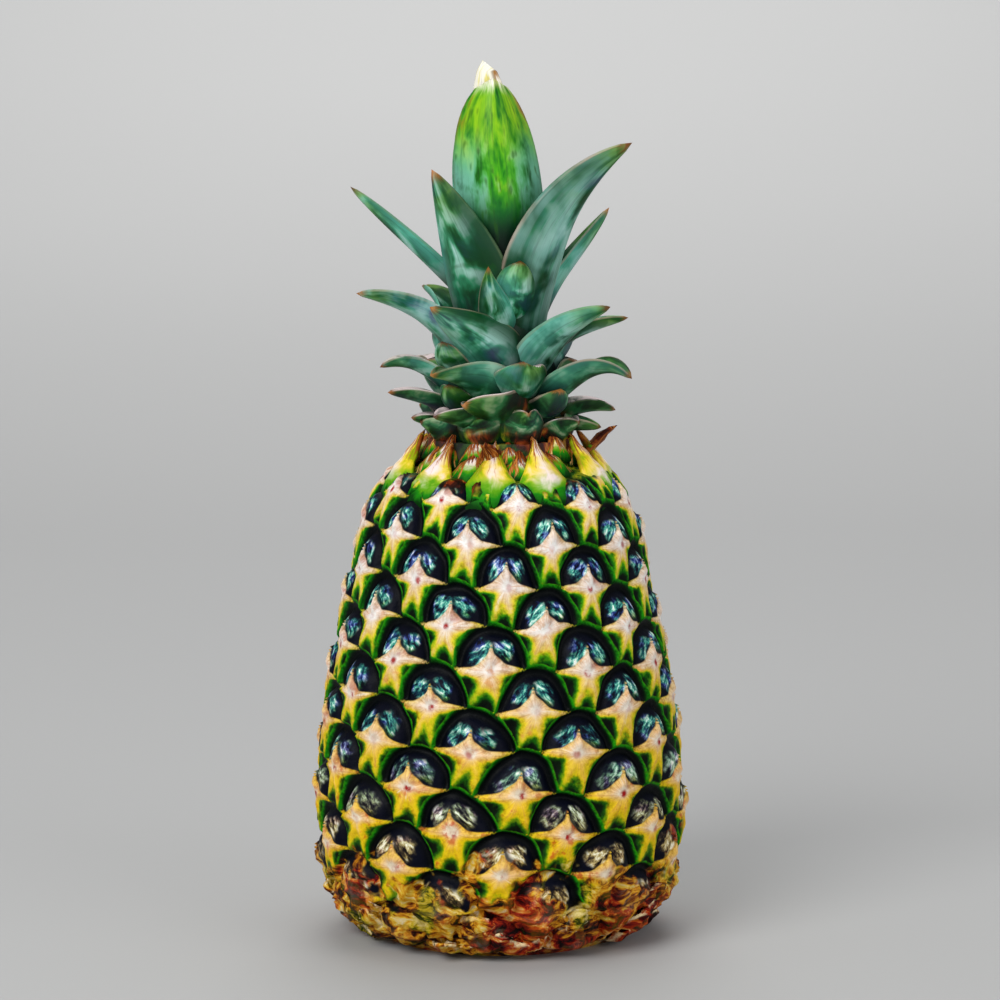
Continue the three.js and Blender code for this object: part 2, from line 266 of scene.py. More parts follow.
# The eyes whose stars reach into one cell of the lattice, and those whose cups do
OWNERS = {0: np.zeros(2), 10: TO_RIGHT, 11: TO_LEFT, 21: TO_RIGHT + TO_LEFT}
CUPS = [0, 10, 11]
print("steps of the lattice:", TO_RIGHT.round(2), TO_LEFT.round(2))

# %% The shapes of one eye, in millimetres from the middle of its star
# Each arm: the end it reaches, and its half width at the star's middle and at that end
ARMS = [
    ((0.3, 8.8), 2.4, 0.2),
    ((14.2, 0.4), 2.4, 0.2),
    ((2.9, -12.6), 3.3, 0.5),
    ((-6.6, -12.0), 3.4, 0.5),
    ((-13.2, 0.6), 2.4, 0.2),
]
ARM_BLEND = 3.2
CUP_MIDDLE = 0.9
CUP_HALF_WIDTH = 13.8
CUP_HEIGHT = 15.6
CUP_SQUARENESS = 2.05
RIM_REACH = 4.0


def star_distance(u, v):
    """How far a point is outside the star, in millimetres; inside it is below zero."""
    nearest = np.full(u.shape, 99.0)
    for (right, up), middle_width, end_width in ARMS:
        length = math.hypot(right, up)
        share = np.clip((u * right + v * up) / length**2, 0, 1)
        away = np.hypot(u - share * right, v - share * up)
        arm = away - (middle_width + (end_width - middle_width) * share)
        blend = np.clip(0.5 + (arm - nearest) / (2 * ARM_BLEND), 0, 1)
        nearest = arm + (nearest - arm) * blend - ARM_BLEND * blend * (1 - blend)
    return nearest


def cup_distance(u, v):
    """How far a point is outside the cup's arch, and below zero inside it."""
    across = np.abs(u - CUP_MIDDLE) / CUP_HALF_WIDTH
    above = np.maximum(v, 0) / CUP_HEIGHT
    arch = ((across**CUP_SQUARENESS + above**CUP_SQUARENESS) ** (1 / CUP_SQUARENESS) - 1) * CUP_HEIGHT
    return arch, np.maximum(arch, 0.2 - v)


def near_rim(u, v):
    """1 on the curved rim of the cup, falling to 0 at RIM_REACH from it on either side."""
    arch, _ = cup_distance(u, v)
    from_corner = np.hypot(np.abs(np.abs(u - CUP_MIDDLE) - CUP_HALF_WIDTH), v)
    return np.clip(1 - np.where(v >= 0, np.abs(arch), from_corner) / RIM_REACH, 0, 1)


def smoothstep(value, low, high):
    share = np.clip((value - low) / (high - low), 0, 1)
    return share * share * (3 - 2 * share)


def crest(u, v):
    """The folds that run out along the arms: 1 on an arm's middle line and 0 beside it."""
    found = np.zeros(u.shape)
    for (right, up), _, _ in ARMS:
        share = np.clip((u * right + v * up) / (right**2 + up**2), 0, 1)
        away = np.hypot(u - share * right, v - share * up)
        found = np.maximum(found, np.clip(1 - away / CREST_WIDTH, 0, 1) * smoothstep(share, 0.1, 0.4))
    return found


# %% The height of the rind over the tile
CUP_PROFILE_FROM_RIM = [-2.5, -0.7, 0.0, 0.7, 1.6, 3.2, 5.0, 7.5]
CUP_PROFILE_HEIGHT = [0.5, 1.0, 0.7, -0.5, -1.3, -0.5, 1.2, 2.2]
STAR_EDGE = 1.0
TIP_RISE = 0.9
SOFT_EDGE = 1.2
CREST_WIDTH = 2.4
CREST_HEIGHT = 0.8


def eye_height(star, arch, cup, u, v):
    """Millimetres above the outline, from the distances to the nearest star and cup."""
    ground = 0.2 + 1.9 * smoothstep(star, 4.0, -0.5)
    bowl = np.interp(-arch, CUP_PROFILE_FROM_RIM, CUP_PROFILE_HEIGHT)
    low = ground + (bowl - ground) * smoothstep(cup, 1.2, -0.3)
    reach = np.hypot(u, v)
    upward = smoothstep(v / np.maximum(reach, 0.01), 0.55, 0.95)
    arm_top = 3.3 - 2.1 * np.clip(reach / 12.5, 0, 1) ** 1.1
    tip_top = 3.3 + TIP_RISE * np.sin(np.clip(reach / 9, 0, 1) * math.pi * 0.62)
    top = arm_top + (tip_top - arm_top) * upward
    plate = top - STAR_EDGE * (1 - smoothstep(-star, 0, 1.8)) + CREST_HEIGHT * (crest(u, v) - 0.5)
    soft = SOFT_EDGE * smoothstep(v, 0.5, -2.5)
    return low + (np.maximum(plate, low) - low) * smoothstep(star, 0.45 + soft, -0.35 - soft)


# %% The tile's mesh
TILE_CELLS = (27, 24)


def nearest_owner(u, v, distance, among):
    """The distance to the nearest of the shapes that reach into the tile, and whose it is."""
    tries = {back: distance(u - OWNERS[back][0], v - OWNERS[back][1]) for back in among}
    tries = {back: found[1] if isinstance(found, tuple) else found for back, found in tries.items()}
    stack = np.stack([tries[back] for back in among])
    return stack.min(0), np.array(among)[stack.argmin(0)]


def tile_mesh():
    """One lattice cell as a flat grid that holds its height and its patterns as attributes."""
    right, left = np.meshgrid(*[np.linspace(0, 1, n + 1) for n in TILE_CELLS], indexing="ij")
    flat = right.reshape(-1, 1) * TO_RIGHT + left.reshape(-1, 1) * TO_LEFT
    u, v = flat.T
    star, star_owner = nearest_owner(u, v, star_distance, list(OWNERS))
    cup, cup_owner = nearest_owner(u, v, cup_distance, CUPS)
    own = np.array([OWNERS[back] for back in star_owner])
    arch = np.stack([cup_distance(u - OWNERS[b][0], v - OWNERS[b][1])[0] for b in CUPS])
    arch = np.choose([CUPS.index(b) for b in cup_owner], arch)
    height = eye_height(star, arch, cup, *(flat - own).T)
    index = np.arange(len(flat)).reshape(right.shape)
    faces = np.stack([index[:-1, :-1], index[1:, :-1], index[1:, 1:], index[:-1, 1:]], -1).reshape(-1, 4)
    mesh = bpy.data.meshes.new("eye_tile")
    mesh.from_pydata(np.c_[flat * MM, height * MM].tolist(), [], faces.tolist())
    middle = flat[faces].mean(1)
    for name, distance, among in (("star", star_distance, list(OWNERS)), ("cup", cup_distance, CUPS)):
        owner = nearest_owner(middle[:, 0], middle[:, 1], distance, among)[1]
        offset = np.array([OWNERS[back] for back in owner])
        set_attribute(mesh, f"{name}_owner", "INT", "FACE", -owner)
        set_attribute(mesh, f"{name}_place", "FLOAT2", "CORNER", flat[faces] - offset[:, None])
    set_attribute(mesh, "star_edge", "FLOAT", "POINT", star)
    set_attribute(mesh, "cup_edge", "FLOAT", "POINT", arch)
    set_attribute(mesh, "cup_open", "FLOAT", "POINT", cup)
    rims = [near_rim(u - offset[0], v - offset[1]) for offset in OWNERS.values()]
    set_attribute(mesh, "cup_rim", "FLOAT", "POINT", np.max(rims, 0))
    return mesh


tile = bpy.data.objects.new("eye_tile", tile_mesh())
heights = [point.co.z / MM for point in tile.data.vertices]
print("tile:", len(heights), "points, from", round(min(heights), 2), "to", round(max(heights), 2), "mm")

# %% [markdown]
# ## Rolling the tiles round the fruit
# Geometry Nodes suit this well: the rind is one tile, repeated by a rule. Points are set out along
# the spiral on the flat sheet, a tile goes on each, and then every point of the sheet is wrapped:
# its distance up the sheet becomes a distance along the outline, and its distance to the right
# becomes an angle. A slow noise shifts the eyes a little first, so that no two are alike.


# %% Helper: run a tree and keep a plain mesh
def new_tree(name, inputs):
    """A geometry tree with named inputs; each is a name, a kind of socket and a value."""
    tree = bpy.data.node_groups.new(name, "GeometryNodeTree")
    tree.interface.new_socket("Geometry", in_out="OUTPUT", socket_type="NodeSocketGeometry")
    for label, kind, _ in inputs:
        tree.interface.new_socket(label, in_out="INPUT", socket_type="NodeSocket" + kind)
    sums = Sums(tree)
    given = sums.node("NodeGroupInput").outputs
    return tree, sums, given


def finish_tree(sums, geometry, given):
    """The end of each tree: its material, smooth shading and the output."""
    dressing = {"Geometry": geometry, "Material": given["Material"]}
    dressed = sums.node("GeometryNodeSetMaterial", dressing).outputs[0]
    smooth = sums.node("GeometryNodeSetShadeSmooth", {"Geometry": dressed}).outputs[0]
    sums.put(sums.node("NodeGroupOutput").inputs[0], smooth)


def run_tree(name, tree, inputs, material):
    """Puts the tree on an empty mesh, sets its inputs and gives back the result as a plain piece."""
    carrier = bpy.data.objects.new(name + "_carrier", bpy.data.meshes.new(name + "_carrier"))
    bpy.context.collection.objects.link(carrier)
    modifier = carrier.modifiers.new("rule", "NODES")
    modifier.node_group = tree
    sockets = {item.name: item.identifier for item in tree.interface.items_tree if item.in_out == "INPUT"}
    for label, _, value in inputs:
        modifier[sockets[label]] = value
    evaluated = carrier.evaluated_get(bpy.context.evaluated_depsgraph_get())
    mesh = bpy.data.meshes.new_from_object(evaluated)
    mesh.name = name
    carrier.modifiers.remove(modifier)
    bpy.data.objects.remove(carrier)
    if not mesh.materials:
        mesh.materials.append(material)
    piece = bpy.data.objects.new(name, mesh)
    bpy.context.collection.objects.link(piece)
    print(name, "has", len(mesh.polygons), "faces")
    return piece


# %% The outline as a curve that the tree can measure along
outline_data = bpy.data.curves.new("outline", "CURVE")
outline_data.dimensions = "3D"
spline = outline_data.splines.new("POLY")
spline.points.add(len(outline) - 1)
for point, (radius, level) in zip(spline.points, outline):
    point.co = (radius * MM, 0, level * MM, 1)
outline_curve = bpy.data.objects.new("outline", outline_data)


# %% The tree
def wrap_on_outline(sums, geometry, given):
    """Rolls a flat sheet round the fruit: x goes round, y goes up the outline, z stands out."""
    flat = sums.parts(sums.node("GeometryNodeInputPosition").outputs[0])
    angle = sums.math("DIVIDE", flat["X"], given["Widest radius"])
    drop = sums.times(flat["Y"], -1.0)
    from_base = sums.minus(given["Outline length"], drop)
    info = sums.node("GeometryNodeObjectInfo", {"Object": given["Outline"]})
    sample = sums.node("GeometryNodeSampleCurve", mode="LENGTH", use_all_curves=True)
    sums.put(sample.inputs["Curves"], info.outputs["Geometry"])
    clamped = sums.node("ShaderNodeClamp", {"Value": from_base, "Min": 0.0, "Max": given["Outline length"]})
    sums.put(sample.inputs["Length"], clamped.outputs[0])
    on_line = sums.parts(sample.outputs["Position"])
    along = sums.parts(sample.outputs["Tangent"])
    neck_fade = sums.between(drop, *(reach * MM for reach in NECK_FADE))
    fade = sums.times(neck_fade, sums.between(from_base, 0.0, BASE_FADE * MM))
    ends = {"From Min": NECK_RADIUS * MM, "From Max": given["Widest radius"], "To Min": EYE_AT_NECK}
    size = sums.node("ShaderNodeMapRange", {"Value": on_line["X"], **ends}, clamp=False)
    relief = sums.times(sums.times(flat["Z"], size.outputs[0]), fade)
    sunk = sums.times(sums.minus(1.0, fade), SKIN_SUNK * MM)
    below, middle, above = (level * MM for level in SHOULDER)
    swell = sums.between(on_line["Z"], below, middle)
    swell = sums.times(swell, sums.between(on_line["Z"], above, middle), given["Shoulder swell"])
    out = sums.plus(sums.minus(relief, sunk), swell)
    reach = sums.math("MULTIPLY_ADD", along["Z"], out, on_line["X"])
    level = sums.minus(on_line["Z"], sums.times(along["X"], out))
    level = sums.math("MAXIMUM", level, SKIN_SUNK / 2 * MM)
    # The front is at -Y, so an angle of zero points there
    x = sums.times(reach, sums.math("SINE", angle))
    y = sums.times(sums.times(reach, sums.math("COSINE", angle)), -1.0)
    rolled = sums.place(x, y, level)
    return sums.node("GeometryNodeSetPosition", {"Geometry": geometry, "Position": rolled}).outputs[0]


def shift_eyes(sums, geometry, given):
    """Moves the sheet about by a slow noise that closes on itself round the fruit."""
    position = sums.node("GeometryNodeInputPosition").outputs[0]
    flat = sums.parts(position)
    angle = sums.math("DIVIDE", flat["X"], given["Widest radius"])
    around = sums.place(sums.math("COSINE", angle), sums.math("SINE", angle))
    level = sums.math("DIVIDE", flat["Y"], given["Widest radius"])
    place = sums.vector("ADD", around, sums.place(0.0, 0.0, level))
    noise = sums.noise(place, given["Shift scale"], detail=1.0, colour=True)
    centred = sums.vector("SUBTRACT", noise, (0.5, 0.5, 0.5))
    shift = sums.node("ShaderNodeVectorMath", {0: centred, "Scale": given["Shift"]}, operation="SCALE")
    inside = sums.between(sums.times(flat["Y"], -1.0), 0.0, SHIFT_FADE * MM)
    shift = sums.node("ShaderNodeVectorMath", {0: shift.outputs[0], "Scale": inside}, operation="SCALE")
    moved = sums.vector("MULTIPLY", shift.outputs[0], (1.0, 0.9, 0.3))
    return sums.node("GeometryNodeSetPosition", {"Geometry": geometry, "Offset": moved}).outputs[0]


def crumple(sums, geometry, amount, scale, share=1.0):
    """Pushes the points about by a fine noise, so that dead skin lies in folds."""
    position = sums.node("GeometryNodeInputPosition").outputs[0]
    squeezed = sums.vector("MULTIPLY", position, (1.0, 1.0, 1.7))
    noise = sums.noise(squeezed, scale, detail=2.0, colour=True)
    centred = sums.vector("SUBTRACT", noise, (0.5, 0.5, 0.5))
    reach = sums.times(amount, share)
    push = sums.node("ShaderNodeVectorMath", {0: centred, "Scale": reach}, operation="SCALE").outputs[0]
    moved = sums.node("GeometryNodeSetPosition", {"Geometry": geometry, "Offset": push}).outputs[0]
    spot = sums.parts(sums.node("GeometryNodeInputPosition").outputs[0])
    above_floor = sums.place(spot["X"], spot["Y"], sums.math("MAXIMUM", spot["Z"], FLOOR_GAP * MM))
    return sums.node("GeometryNodeSetPosition", {"Geometry": moved, "Position": above_floor}).outputs[0]


def store(sums, geometry, name, kind, domain, value):
    node = sums.node("GeometryNodeStoreNamedAttribute", data_type=kind, domain=domain)
    sums.put(node.inputs["Geometry"], geometry)
    node.inputs["Name"].default_value = name
    sums.put(node.inputs["Value"], value)
    return node.outputs["Geometry"]


def named(sums, name, kind="FLOAT"):
    return sums.node("GeometryNodeInputNamedAttribute", {"Name": name}, data_type=kind).outputs["Attribute"]


RIND_INPUTS = [
    ("Tile", "Object", tile),
    ("Outline", "Object", outline_curve),
    ("Eyes", "Int", EYES),
    ("First eye", "Int", FIRST_EYE),
    ("Turn", "Float", math.radians(EYE_TURN)),
    ("Drop", "Float", EYE_DROP * MM),
    ("Turn of eye zero", "Float", math.radians(EYE_ZERO_TURN)),
    ("Drop of eye zero", "Float", EYE_ZERO_DROP * MM),
    ("Widest radius", "Float", WIDEST_RADIUS * MM),
    ("Outline length", "Float", OUTLINE_LENGTH * MM),
    ("Shift", "Float", 5.5 * MM),
    ("Shift scale", "Float", 3.4),
    ("Shoulder swell", "Float", 1.5 * MM),
    ("Crumple", "Float", 5.0 * MM),
    ("Crumpled up to", "Float", 34 * MM),
    ("Material", "Material", None),
]
WELD = 0.04
FLOOR_GAP = 0.3
FOLD_SCALE = 150.0
# Heights at which the folds are at their fullest, and from which they grow off the floor
FULLY_CRUMPLED = 20
FOLDS_START = 6


def rind_tree():
    tree, sums, given = new_tree("eyes_round_the_fruit", RIND_INPUTS)
    eye = sums.plus(sums.node("GeometryNodeInputIndex").outputs[0], given["First eye"])
    turn = sums.math("MULTIPLY_ADD", eye, given["Turn"], given["Turn of eye zero"])
    right = sums.times(turn, given["Widest radius"])
    down = sums.math("MULTIPLY_ADD", eye, given["Drop"], given["Drop of eye zero"])
    spot = sums.place(right, sums.times(down, -1.0))
    points = sums.node("GeometryNodePoints", {"Count": given["Eyes"], "Position": spot}).outputs[0]
    points = store(sums, points, "eye", "FLOAT", "POINT", eye)
    info = sums.node("GeometryNodeObjectInfo", {"Object": given["Tile"]})
    copies = {"Points": points, "Instance": info.outputs["Geometry"]}
    tiles = sums.node("GeometryNodeInstanceOnPoints", copies).outputs[0]
    sheet = sums.node("GeometryNodeRealizeInstances", {"Geometry": tiles}).outputs[0]
    for name in ("star", "cup"):
        number = sums.plus(named(sums, "eye"), named(sums, f"{name}_owner", "INT"))
        sheet = store(sums, sheet, f"{name}_number", "FLOAT", "FACE", number)
    level = sums.parts(sums.node("GeometryNodeInputPosition").outputs[0])["Y"]
    drop = sums.times(level, -1.0)
    above = sums.math("LESS_THAN", drop, 0.0)
    below = sums.math("GREATER_THAN", drop, given["Outline length"])
    beyond = sums.math("GREATER_THAN", sums.plus(above, below), 0.5)
    cut = sums.node("GeometryNodeDeleteGeometry", {"Geometry": sheet, "Selection": beyond}, domain="FACE")
    sheet = shift_eyes(sums, cut.outputs[0], given)
    skin = wrap_on_outline(sums, sheet, given)
    height = sums.parts(sums.node("GeometryNodeInputPosition").outputs[0])["Z"]
    share = sums.between(height, given["Crumpled up to"], FULLY_CRUMPLED * MM)
    share = sums.times(share, sums.between(height, 0.0, FOLDS_START * MM))
    skin = crumple(sums, skin, given["Crumple"], FOLD_SCALE, share)
    welded = sums.node("GeometryNodeMergeByDistance", {"Geometry": skin, "Distance": WELD * MM})
    finish_tree(sums, welded.outputs[0], given)
    return tree


# %% [markdown]
# ## The finish of the rind
# A ripening rind is waxy green in its seams, pinkish white to yellow on the papery stars, and
# nearly black in the cups, with a blue green gloss in their middles. The black is painted shade in the
# deep cups and seams, and the gloss is partly the cups' own colour and partly painted highlight.
# The tile carries the distance to the nearest star and cup edge, in millimetres, so ramps over those
# distances paint every eye the same way, and the eye's own number and its place in the fruit vary the
# result.


# %% The material of the rind
# Heights, in metres, between which one skin gives way to the next
DRY_SKIN_FROM = 0.026
DRY_SKIN_TO = 0.031
NECK_SKIN_FROM = 0.162
NECK_SKIN_TO = 0.1655


def star_paint(sums, level, mottle, blotch):
    """Cream in the middle of a star, then yellow, and green in the seams, going near black deep in them as
    painted shade; warmer low down.
    """
    here = sums.attribute("star_place", "Vector")
    spot = sums.parts(here)
    reach = sums.vector("LENGTH", here)
    number = sums.attribute("star_number")
    wander = sums.drift(sums.times(sums.minus(blotch, 0.5), 5.0), mottle, 2.4)
    by_cup = sums.between(spot["Y"], -2.4, 0.6, 0.0, 3.0)
    by_cup = sums.times(by_cup, sums.between(reach, 13.0, 5.0, 0.35, 1.0))
    inner = sums.minus(sums.plus(wander, by_cup), sums.attribute("star_edge"))
    depth = sums.node("ShaderNodeMapRange", {"Value": inner, "From Min": -4.0, "From Max": 6.0}).outputs[0]
    # Both ramps end near black where the seams sink deepest: that is painted shade.
    high = sums.ramp(
        depth,
        (0.12, 1, 8, 3),
        (0.24, 2, 26, 4),
        (0.32, 8, 98, 5),
        (0.38, 66, 158, 8),
        (0.43, 170, 198, 16),
        (0.5, 236, 214, 60),
        (0.6, 240, 214, 142),
        (0.72, 240, 222, 196),
        (0.88, 244, 232, 224),
        (1.0, 250, 248, 244),
    )
    low = sums.ramp(
        depth,
        (0.12, 2, 8, 3),
        (0.24, 6, 28, 4),
        (0.32, 30, 94, 4),
        (0.39, 116, 154, 4),
        (0.46, 226, 200, 10),
        (0.6, 248, 204, 30),
        (0.74, 250, 208, 100),
        (0.86, 248, 206, 140),
        (1.0, 252, 236, 208),
    )
    paint = sums.mix(sums.between(level, 0.045, 0.13), low, high)
    # The ends of the two legs turn green
    paint = sums.cover(
        paint,
        linear(96, 160, 14),
        sums.between(reach, 7.0, 12.5),
        sums.between(spot["Y"], -2.0, -6.0),
        sums.between(level, 0.03, 0.11, 0.1, 0.9),
        sums.between(blotch, 0.62, 0.42, 0.3, 1.0),
        sums.between(inner, -0.6, 0.8),
    )
    # Fine rays run out from the middle: the dark ones are painted shade in creases, the pale ones painted
    # highlight
    way = sums.parts(sums.vector("NORMALIZE", here))
    turn = sums.place(sums.times(way["X"], 2.6), sums.times(way["Y"], 2.6), number)
    rays = sums.noise(turn, 1.0, detail=4.0, roughness=0.7)
    crease_ray_shade = sums.between(sums.math("ABSOLUTE", sums.minus(rays, 0.5)), 0.045, 0.0)
    outside = sums.between(reach, 1.0, 3.0)
    paint = sums.cover(paint, linear(206, 140, 70), crease_ray_shade, outside, sums.between(inner, 0.4, 2.0, 0.0, 0.45))
    ray_highlight = sums.between(rays, 0.58, 0.7, 0.0, 0.5)
    paint = sums.cover(paint, linear(254, 250, 244), ray_highlight, sums.between(inner, 1.0, 3.0))
    # Some patches are scorched, the more so the lower they are
    hot = sums.mix(sums.between(level, 0.09, 0.04), linear(222, 150, 60), linear(206, 70, 20))
    paint = sums.cover(
        paint,
        hot,
        sums.between(mottle, 0.5, 0.62),
        sums.between(blotch, 0.47, 0.6),
        sums.between(inner, 0.3, 1.6, 0.0, 0.7),
        sums.between(level, 0.14, 0.08, 0.45, 1.0),
    )
    # A red flush lies beside the tip and in a dot at the middle
    beside_tip = sums.times(sums.between(spot["X"], 0.6, 1.4), sums.between(spot["Y"], 0.6, 2.6), 0.5)
    eye_spot = sums.place(sums.between(sums.chance(number, 0.2), 0.0, 1.0, -0.6, 1.4), 0.0)
    dot = sums.between(sums.vector("DISTANCE", here, eye_spot), 1.9, 0.5)
    return sums.cover(
        paint,
        linear(168, 26, 26),
        sums.math("MAXIMUM", beside_tip, dot),
        sums.between(sums.chance(number, 0.37), 0.1, 0.7, 0.25, 1.0),
        sums.between(mottle, 0.4, 0.52, 0.2, 1.0),
    )


def cup_paint(sums, level, mottle):
    """A near black ring of painted shade, with a blue green gloss in the middle, broken by pale streaks
    that are painted highlight.
    """
    inner = sums.times(sums.attribute("cup_edge"), -1.0)
    number = sums.attribute("cup_number")
    spot = sums.parts(sums.attribute("cup_place", "Vector"))
    side = sums.math("ABSOLUTE", sums.minus(spot["X"], 0.3))
    fall = sums.math("MULTIPLY_ADD", side, 0.7, spot["Y"])
    strokes = sums.place(sums.times(fall, 0.4), sums.times(spot["X"], 0.3), number)
    streaks = sums.noise(strokes, 1.1, detail=4.0, roughness=0.62, distortion=0.2)
    patch = sums.noise(sums.place(spot["X"], spot["Y"], number), 0.17, detail=2.0)
    hue = sums.noise(sums.place(spot["X"], spot["Y"], sums.plus(number, 0.5)), 0.2, detail=1.0)
    # The ring: green at the cup's edge, then near black, a painted shade down in the groove
    ring = sums.ramp(
        sums.between(sums.plus(inner, sums.minus(mottle, 0.5)), -0.5, 5.0),
        (0.0, 6, 60, 6),
        (0.08, 1, 18, 4),
        (0.16, 0, 4, 4),
        (0.6, 0, 2, 5),
        (1.0, 2, 4, 20),
    )
    # Each colour of the middle ends in near white: painted highlight on the streaks
    teal = sums.ramp(
        streaks,
        (0.38, 2, 5, 26),
        (0.47, 6, 76, 92),
        (0.54, 50, 166, 146),
        (0.61, 176, 228, 212),
        (0.68, 250, 252, 244),
    )
    blue = sums.ramp(
        streaks,
        (0.4, 2, 3, 26),
        (0.5, 20, 52, 130),
        (0.58, 104, 140, 200),
        (0.66, 238, 242, 248),
    )
    leafy = sums.ramp(
        streaks,
        (0.4, 2, 16, 10),
        (0.5, 40, 120, 34),
        (0.59, 150, 196, 100),
        (0.68, 246, 250, 220),
    )
    warm = sums.ramp(
        streaks,
        (0.38, 22, 14, 12),
        (0.46, 98, 74, 34),
        (0.54, 206, 168, 96),
        (0.62, 252, 238, 206),
    )
    lens = sums.mix(sums.between(hue, 0.5, 0.6), teal, blue)
    lens = sums.cover(
        lens,
        leafy,
        sums.between(spot["X"], 1.5, 4.5),
        sums.between(spot["Y"], 6.5, 3.0),
        sums.between(hue, 0.42, 0.56, 0.2, 0.9),
    )
    lens = sums.mix(sums.between(level, 0.085, 0.03, 0.05, 0.85), lens, warm)
    # The gloss, with its painted highlight, is a round patch on either side of the tip, and a painted
    # shadow leaves it dark just right of the tip
    from_middle = sums.place(
        sums.math("DIVIDE", sums.minus(side, 3.4), 5.2),
        sums.math("DIVIDE", sums.minus(spot["Y"], 5.8), 4.8),
    )
    round_patch = sums.plus(sums.vector("LENGTH", from_middle), sums.minus(0.5, patch))
    by_star = sums.between(sums.attribute("star_edge"), 1.9, 0.5)
    shaded = sums.times(by_star, sums.between(spot["X"], 0.2, 1.2), 0.9)
    return sums.cover(
        ring,
        lens,
        sums.between(inner, 2.6, 4.6),
        sums.between(round_patch, 1.1, 0.6),
        sums.between(patch, 0.3, 0.46, 0.3, 1.0),
        sums.minus(1.0, shaded),
    )


def dry_paint(sums, place):
    """Dead papery skin: cream and orange folds with dark red brown creases between them; the near black in
    the creases is painted shade, the palest cream on the folds painted highlight.
    """
    stretched = sums.vector("MULTIPLY", place, (1.0, 1.0, 1.6))
    torn = sums.noise(stretched, 112.0, detail=5.0, roughness=0.66, distortion=0.8)
    tint = sums.noise(place, 56.0, detail=2.0)
    cream = sums.ramp(
        torn,
        (0.41, 18, 7, 3),
        (0.475, 110, 42, 12),
        (0.53, 220, 146, 24),
        (0.6, 244, 208, 76),
        (0.69, 252, 240, 210),
    )
    red = sums.ramp(
        torn,
        (0.41, 20, 5, 5),
        (0.48, 110, 12, 12),
        (0.545, 196, 58, 22),
        (0.61, 238, 166, 70),
        (0.7, 252, 232, 210),
    )
    olive = sums.ramp(
        torn,
        (0.4, 6, 14, 3),
        (0.48, 74, 84, 8),
        (0.55, 206, 182, 30),
        (0.66, 248, 228, 150),
    )
    paint = sums.mix(sums.between(tint, 0.36, 0.42), olive, cream)
    paint = sums.mix(sums.between(tint, 0.48, 0.54), paint, red)
    return sums.mix(1.0, paint, linear(236, 232, 222), "MULTIPLY")


def shaded_neck_paint(sums, place):
    """The hollow skin under the crown: dark red brown, with streaks of olive and orange, kept dark as
    painted shade under the leaves.
    """
    upright = sums.vector("MULTIPLY", place, (1.0, 1.0, 0.4))
    fibre = sums.noise(upright, 190.0, detail=4.0, roughness=0.6, distortion=0.6)
    tint = sums.noise(place, 60.0, detail=2.0)
    brown = sums.ramp(
        fibre,
        (0.4, 12, 6, 3),
        (0.5, 60, 18, 7),
        (0.58, 136, 52, 14),
        (0.7, 206, 150, 60),
    )
    olive = sums.ramp(
        fibre,
        (0.4, 5, 20, 4),
        (0.52, 34, 74, 8),
        (0.66, 150, 150, 24),
    )
    return sums.mix(sums.between(tint, 0.46, 0.54), brown, olive)


def rind_material():
    material, sums, shader = new_material("rind_skin")
    place = sums.node("ShaderNodeTexCoord").outputs["Object"]
    level = sums.parts(place)["Z"]
    mottle = sums.noise(place, 240.0, detail=4.0, roughness=0.62)
    blotch = sums.noise(place, 110.0, detail=3.0, roughness=0.6, distortion=0.6)
    star_edge = sums.attribute("star_edge")
    in_cup = sums.between(sums.attribute("cup_open"), 0.3, -0.3)
    beside_star = sums.between(star_edge, -0.3, 0.25)
    cup_share = sums.times(in_cup, beside_star)
    # A green rim runs round the top of each cup, under the arms of the stars; it goes near black at the
    # cup's edge, a painted shade in the crevice
    rim_wander = sums.drift(sums.attribute("cup_rim"), blotch, 0.5)
    rim_wander = sums.plus(rim_wander, sums.between(level, 0.02, 0.17, -0.14, 0.0))
    rim_green_and_shade = sums.ramp(
        rim_wander,
        (0.64, 90, 164, 12),
        (0.78, 30, 150, 8),
        (0.9, 8, 92, 6),
        (1.0, 1, 22, 3),
    )
    beside = sums.parts(sums.attribute("star_place", "Vector"))["Y"]
    on_arm = sums.times(sums.between(beside, -2.4, -1.2), sums.between(star_edge, 0.4, -0.3))
    off_arm = sums.between(on_arm, 0.0, 1.0, 1.0, 0.1)
    rim = sums.between(rim_wander, 0.64, 0.78)
    paint = sums.cover(star_paint(sums, level, mottle, blotch), rim_green_and_shade, rim, off_arm)
    # A fine grain darkens the paint, most outside the stars: a fine texture, and painted shade in the seams
    grain = sums.noise(place, 520.0, detail=3.0, roughness=0.7)
    shaded = sums.mix(sums.between(grain, 0.3, 0.6), linear(170, 142, 100), linear(248, 246, 242))
    paint = sums.mix(sums.between(star_edge, 0.4, -2.0, 0.9, 0.3), paint, shaded, "MULTIPLY")
    paint = sums.mix(cup_share, paint, cup_paint(sums, level, mottle))
    # Dry skin takes over near the base, and under the crown dark skin, its darkness partly painted shade
    wander = sums.noise(place, 70.0, detail=3.0)
    dry = sums.between(sums.drift(level, wander, 0.07), DRY_SKIN_TO, DRY_SKIN_FROM)
    paint = sums.cover(paint, dry_paint(sums, place), dry, 0.92)
    by_crown = sums.between(sums.drift(level, wander, 0.02), NECK_SKIN_FROM, NECK_SKIN_TO)
    paint = sums.mix(by_crown, paint, shaded_neck_paint(sums, place))
    sums.put(shader.inputs["Base Color"], paint)
    sums.put(shader.inputs["Roughness"], sums.between(cup_share, 0.0, 1.0, 0.6, 0.5))
    shader.inputs["Specular IOR Level"].default_value = 0.08
    fine = sums.math("MULTIPLY_ADD", blotch, 0.8, mottle)
    sums.put(shader.inputs["Normal"], bumped(sums, fine, 0.5, 0.7 * MM))
    return material


rind_skin = rind_material()
RIND_INPUTS[-1] = ("Material", "Material", rind_skin)


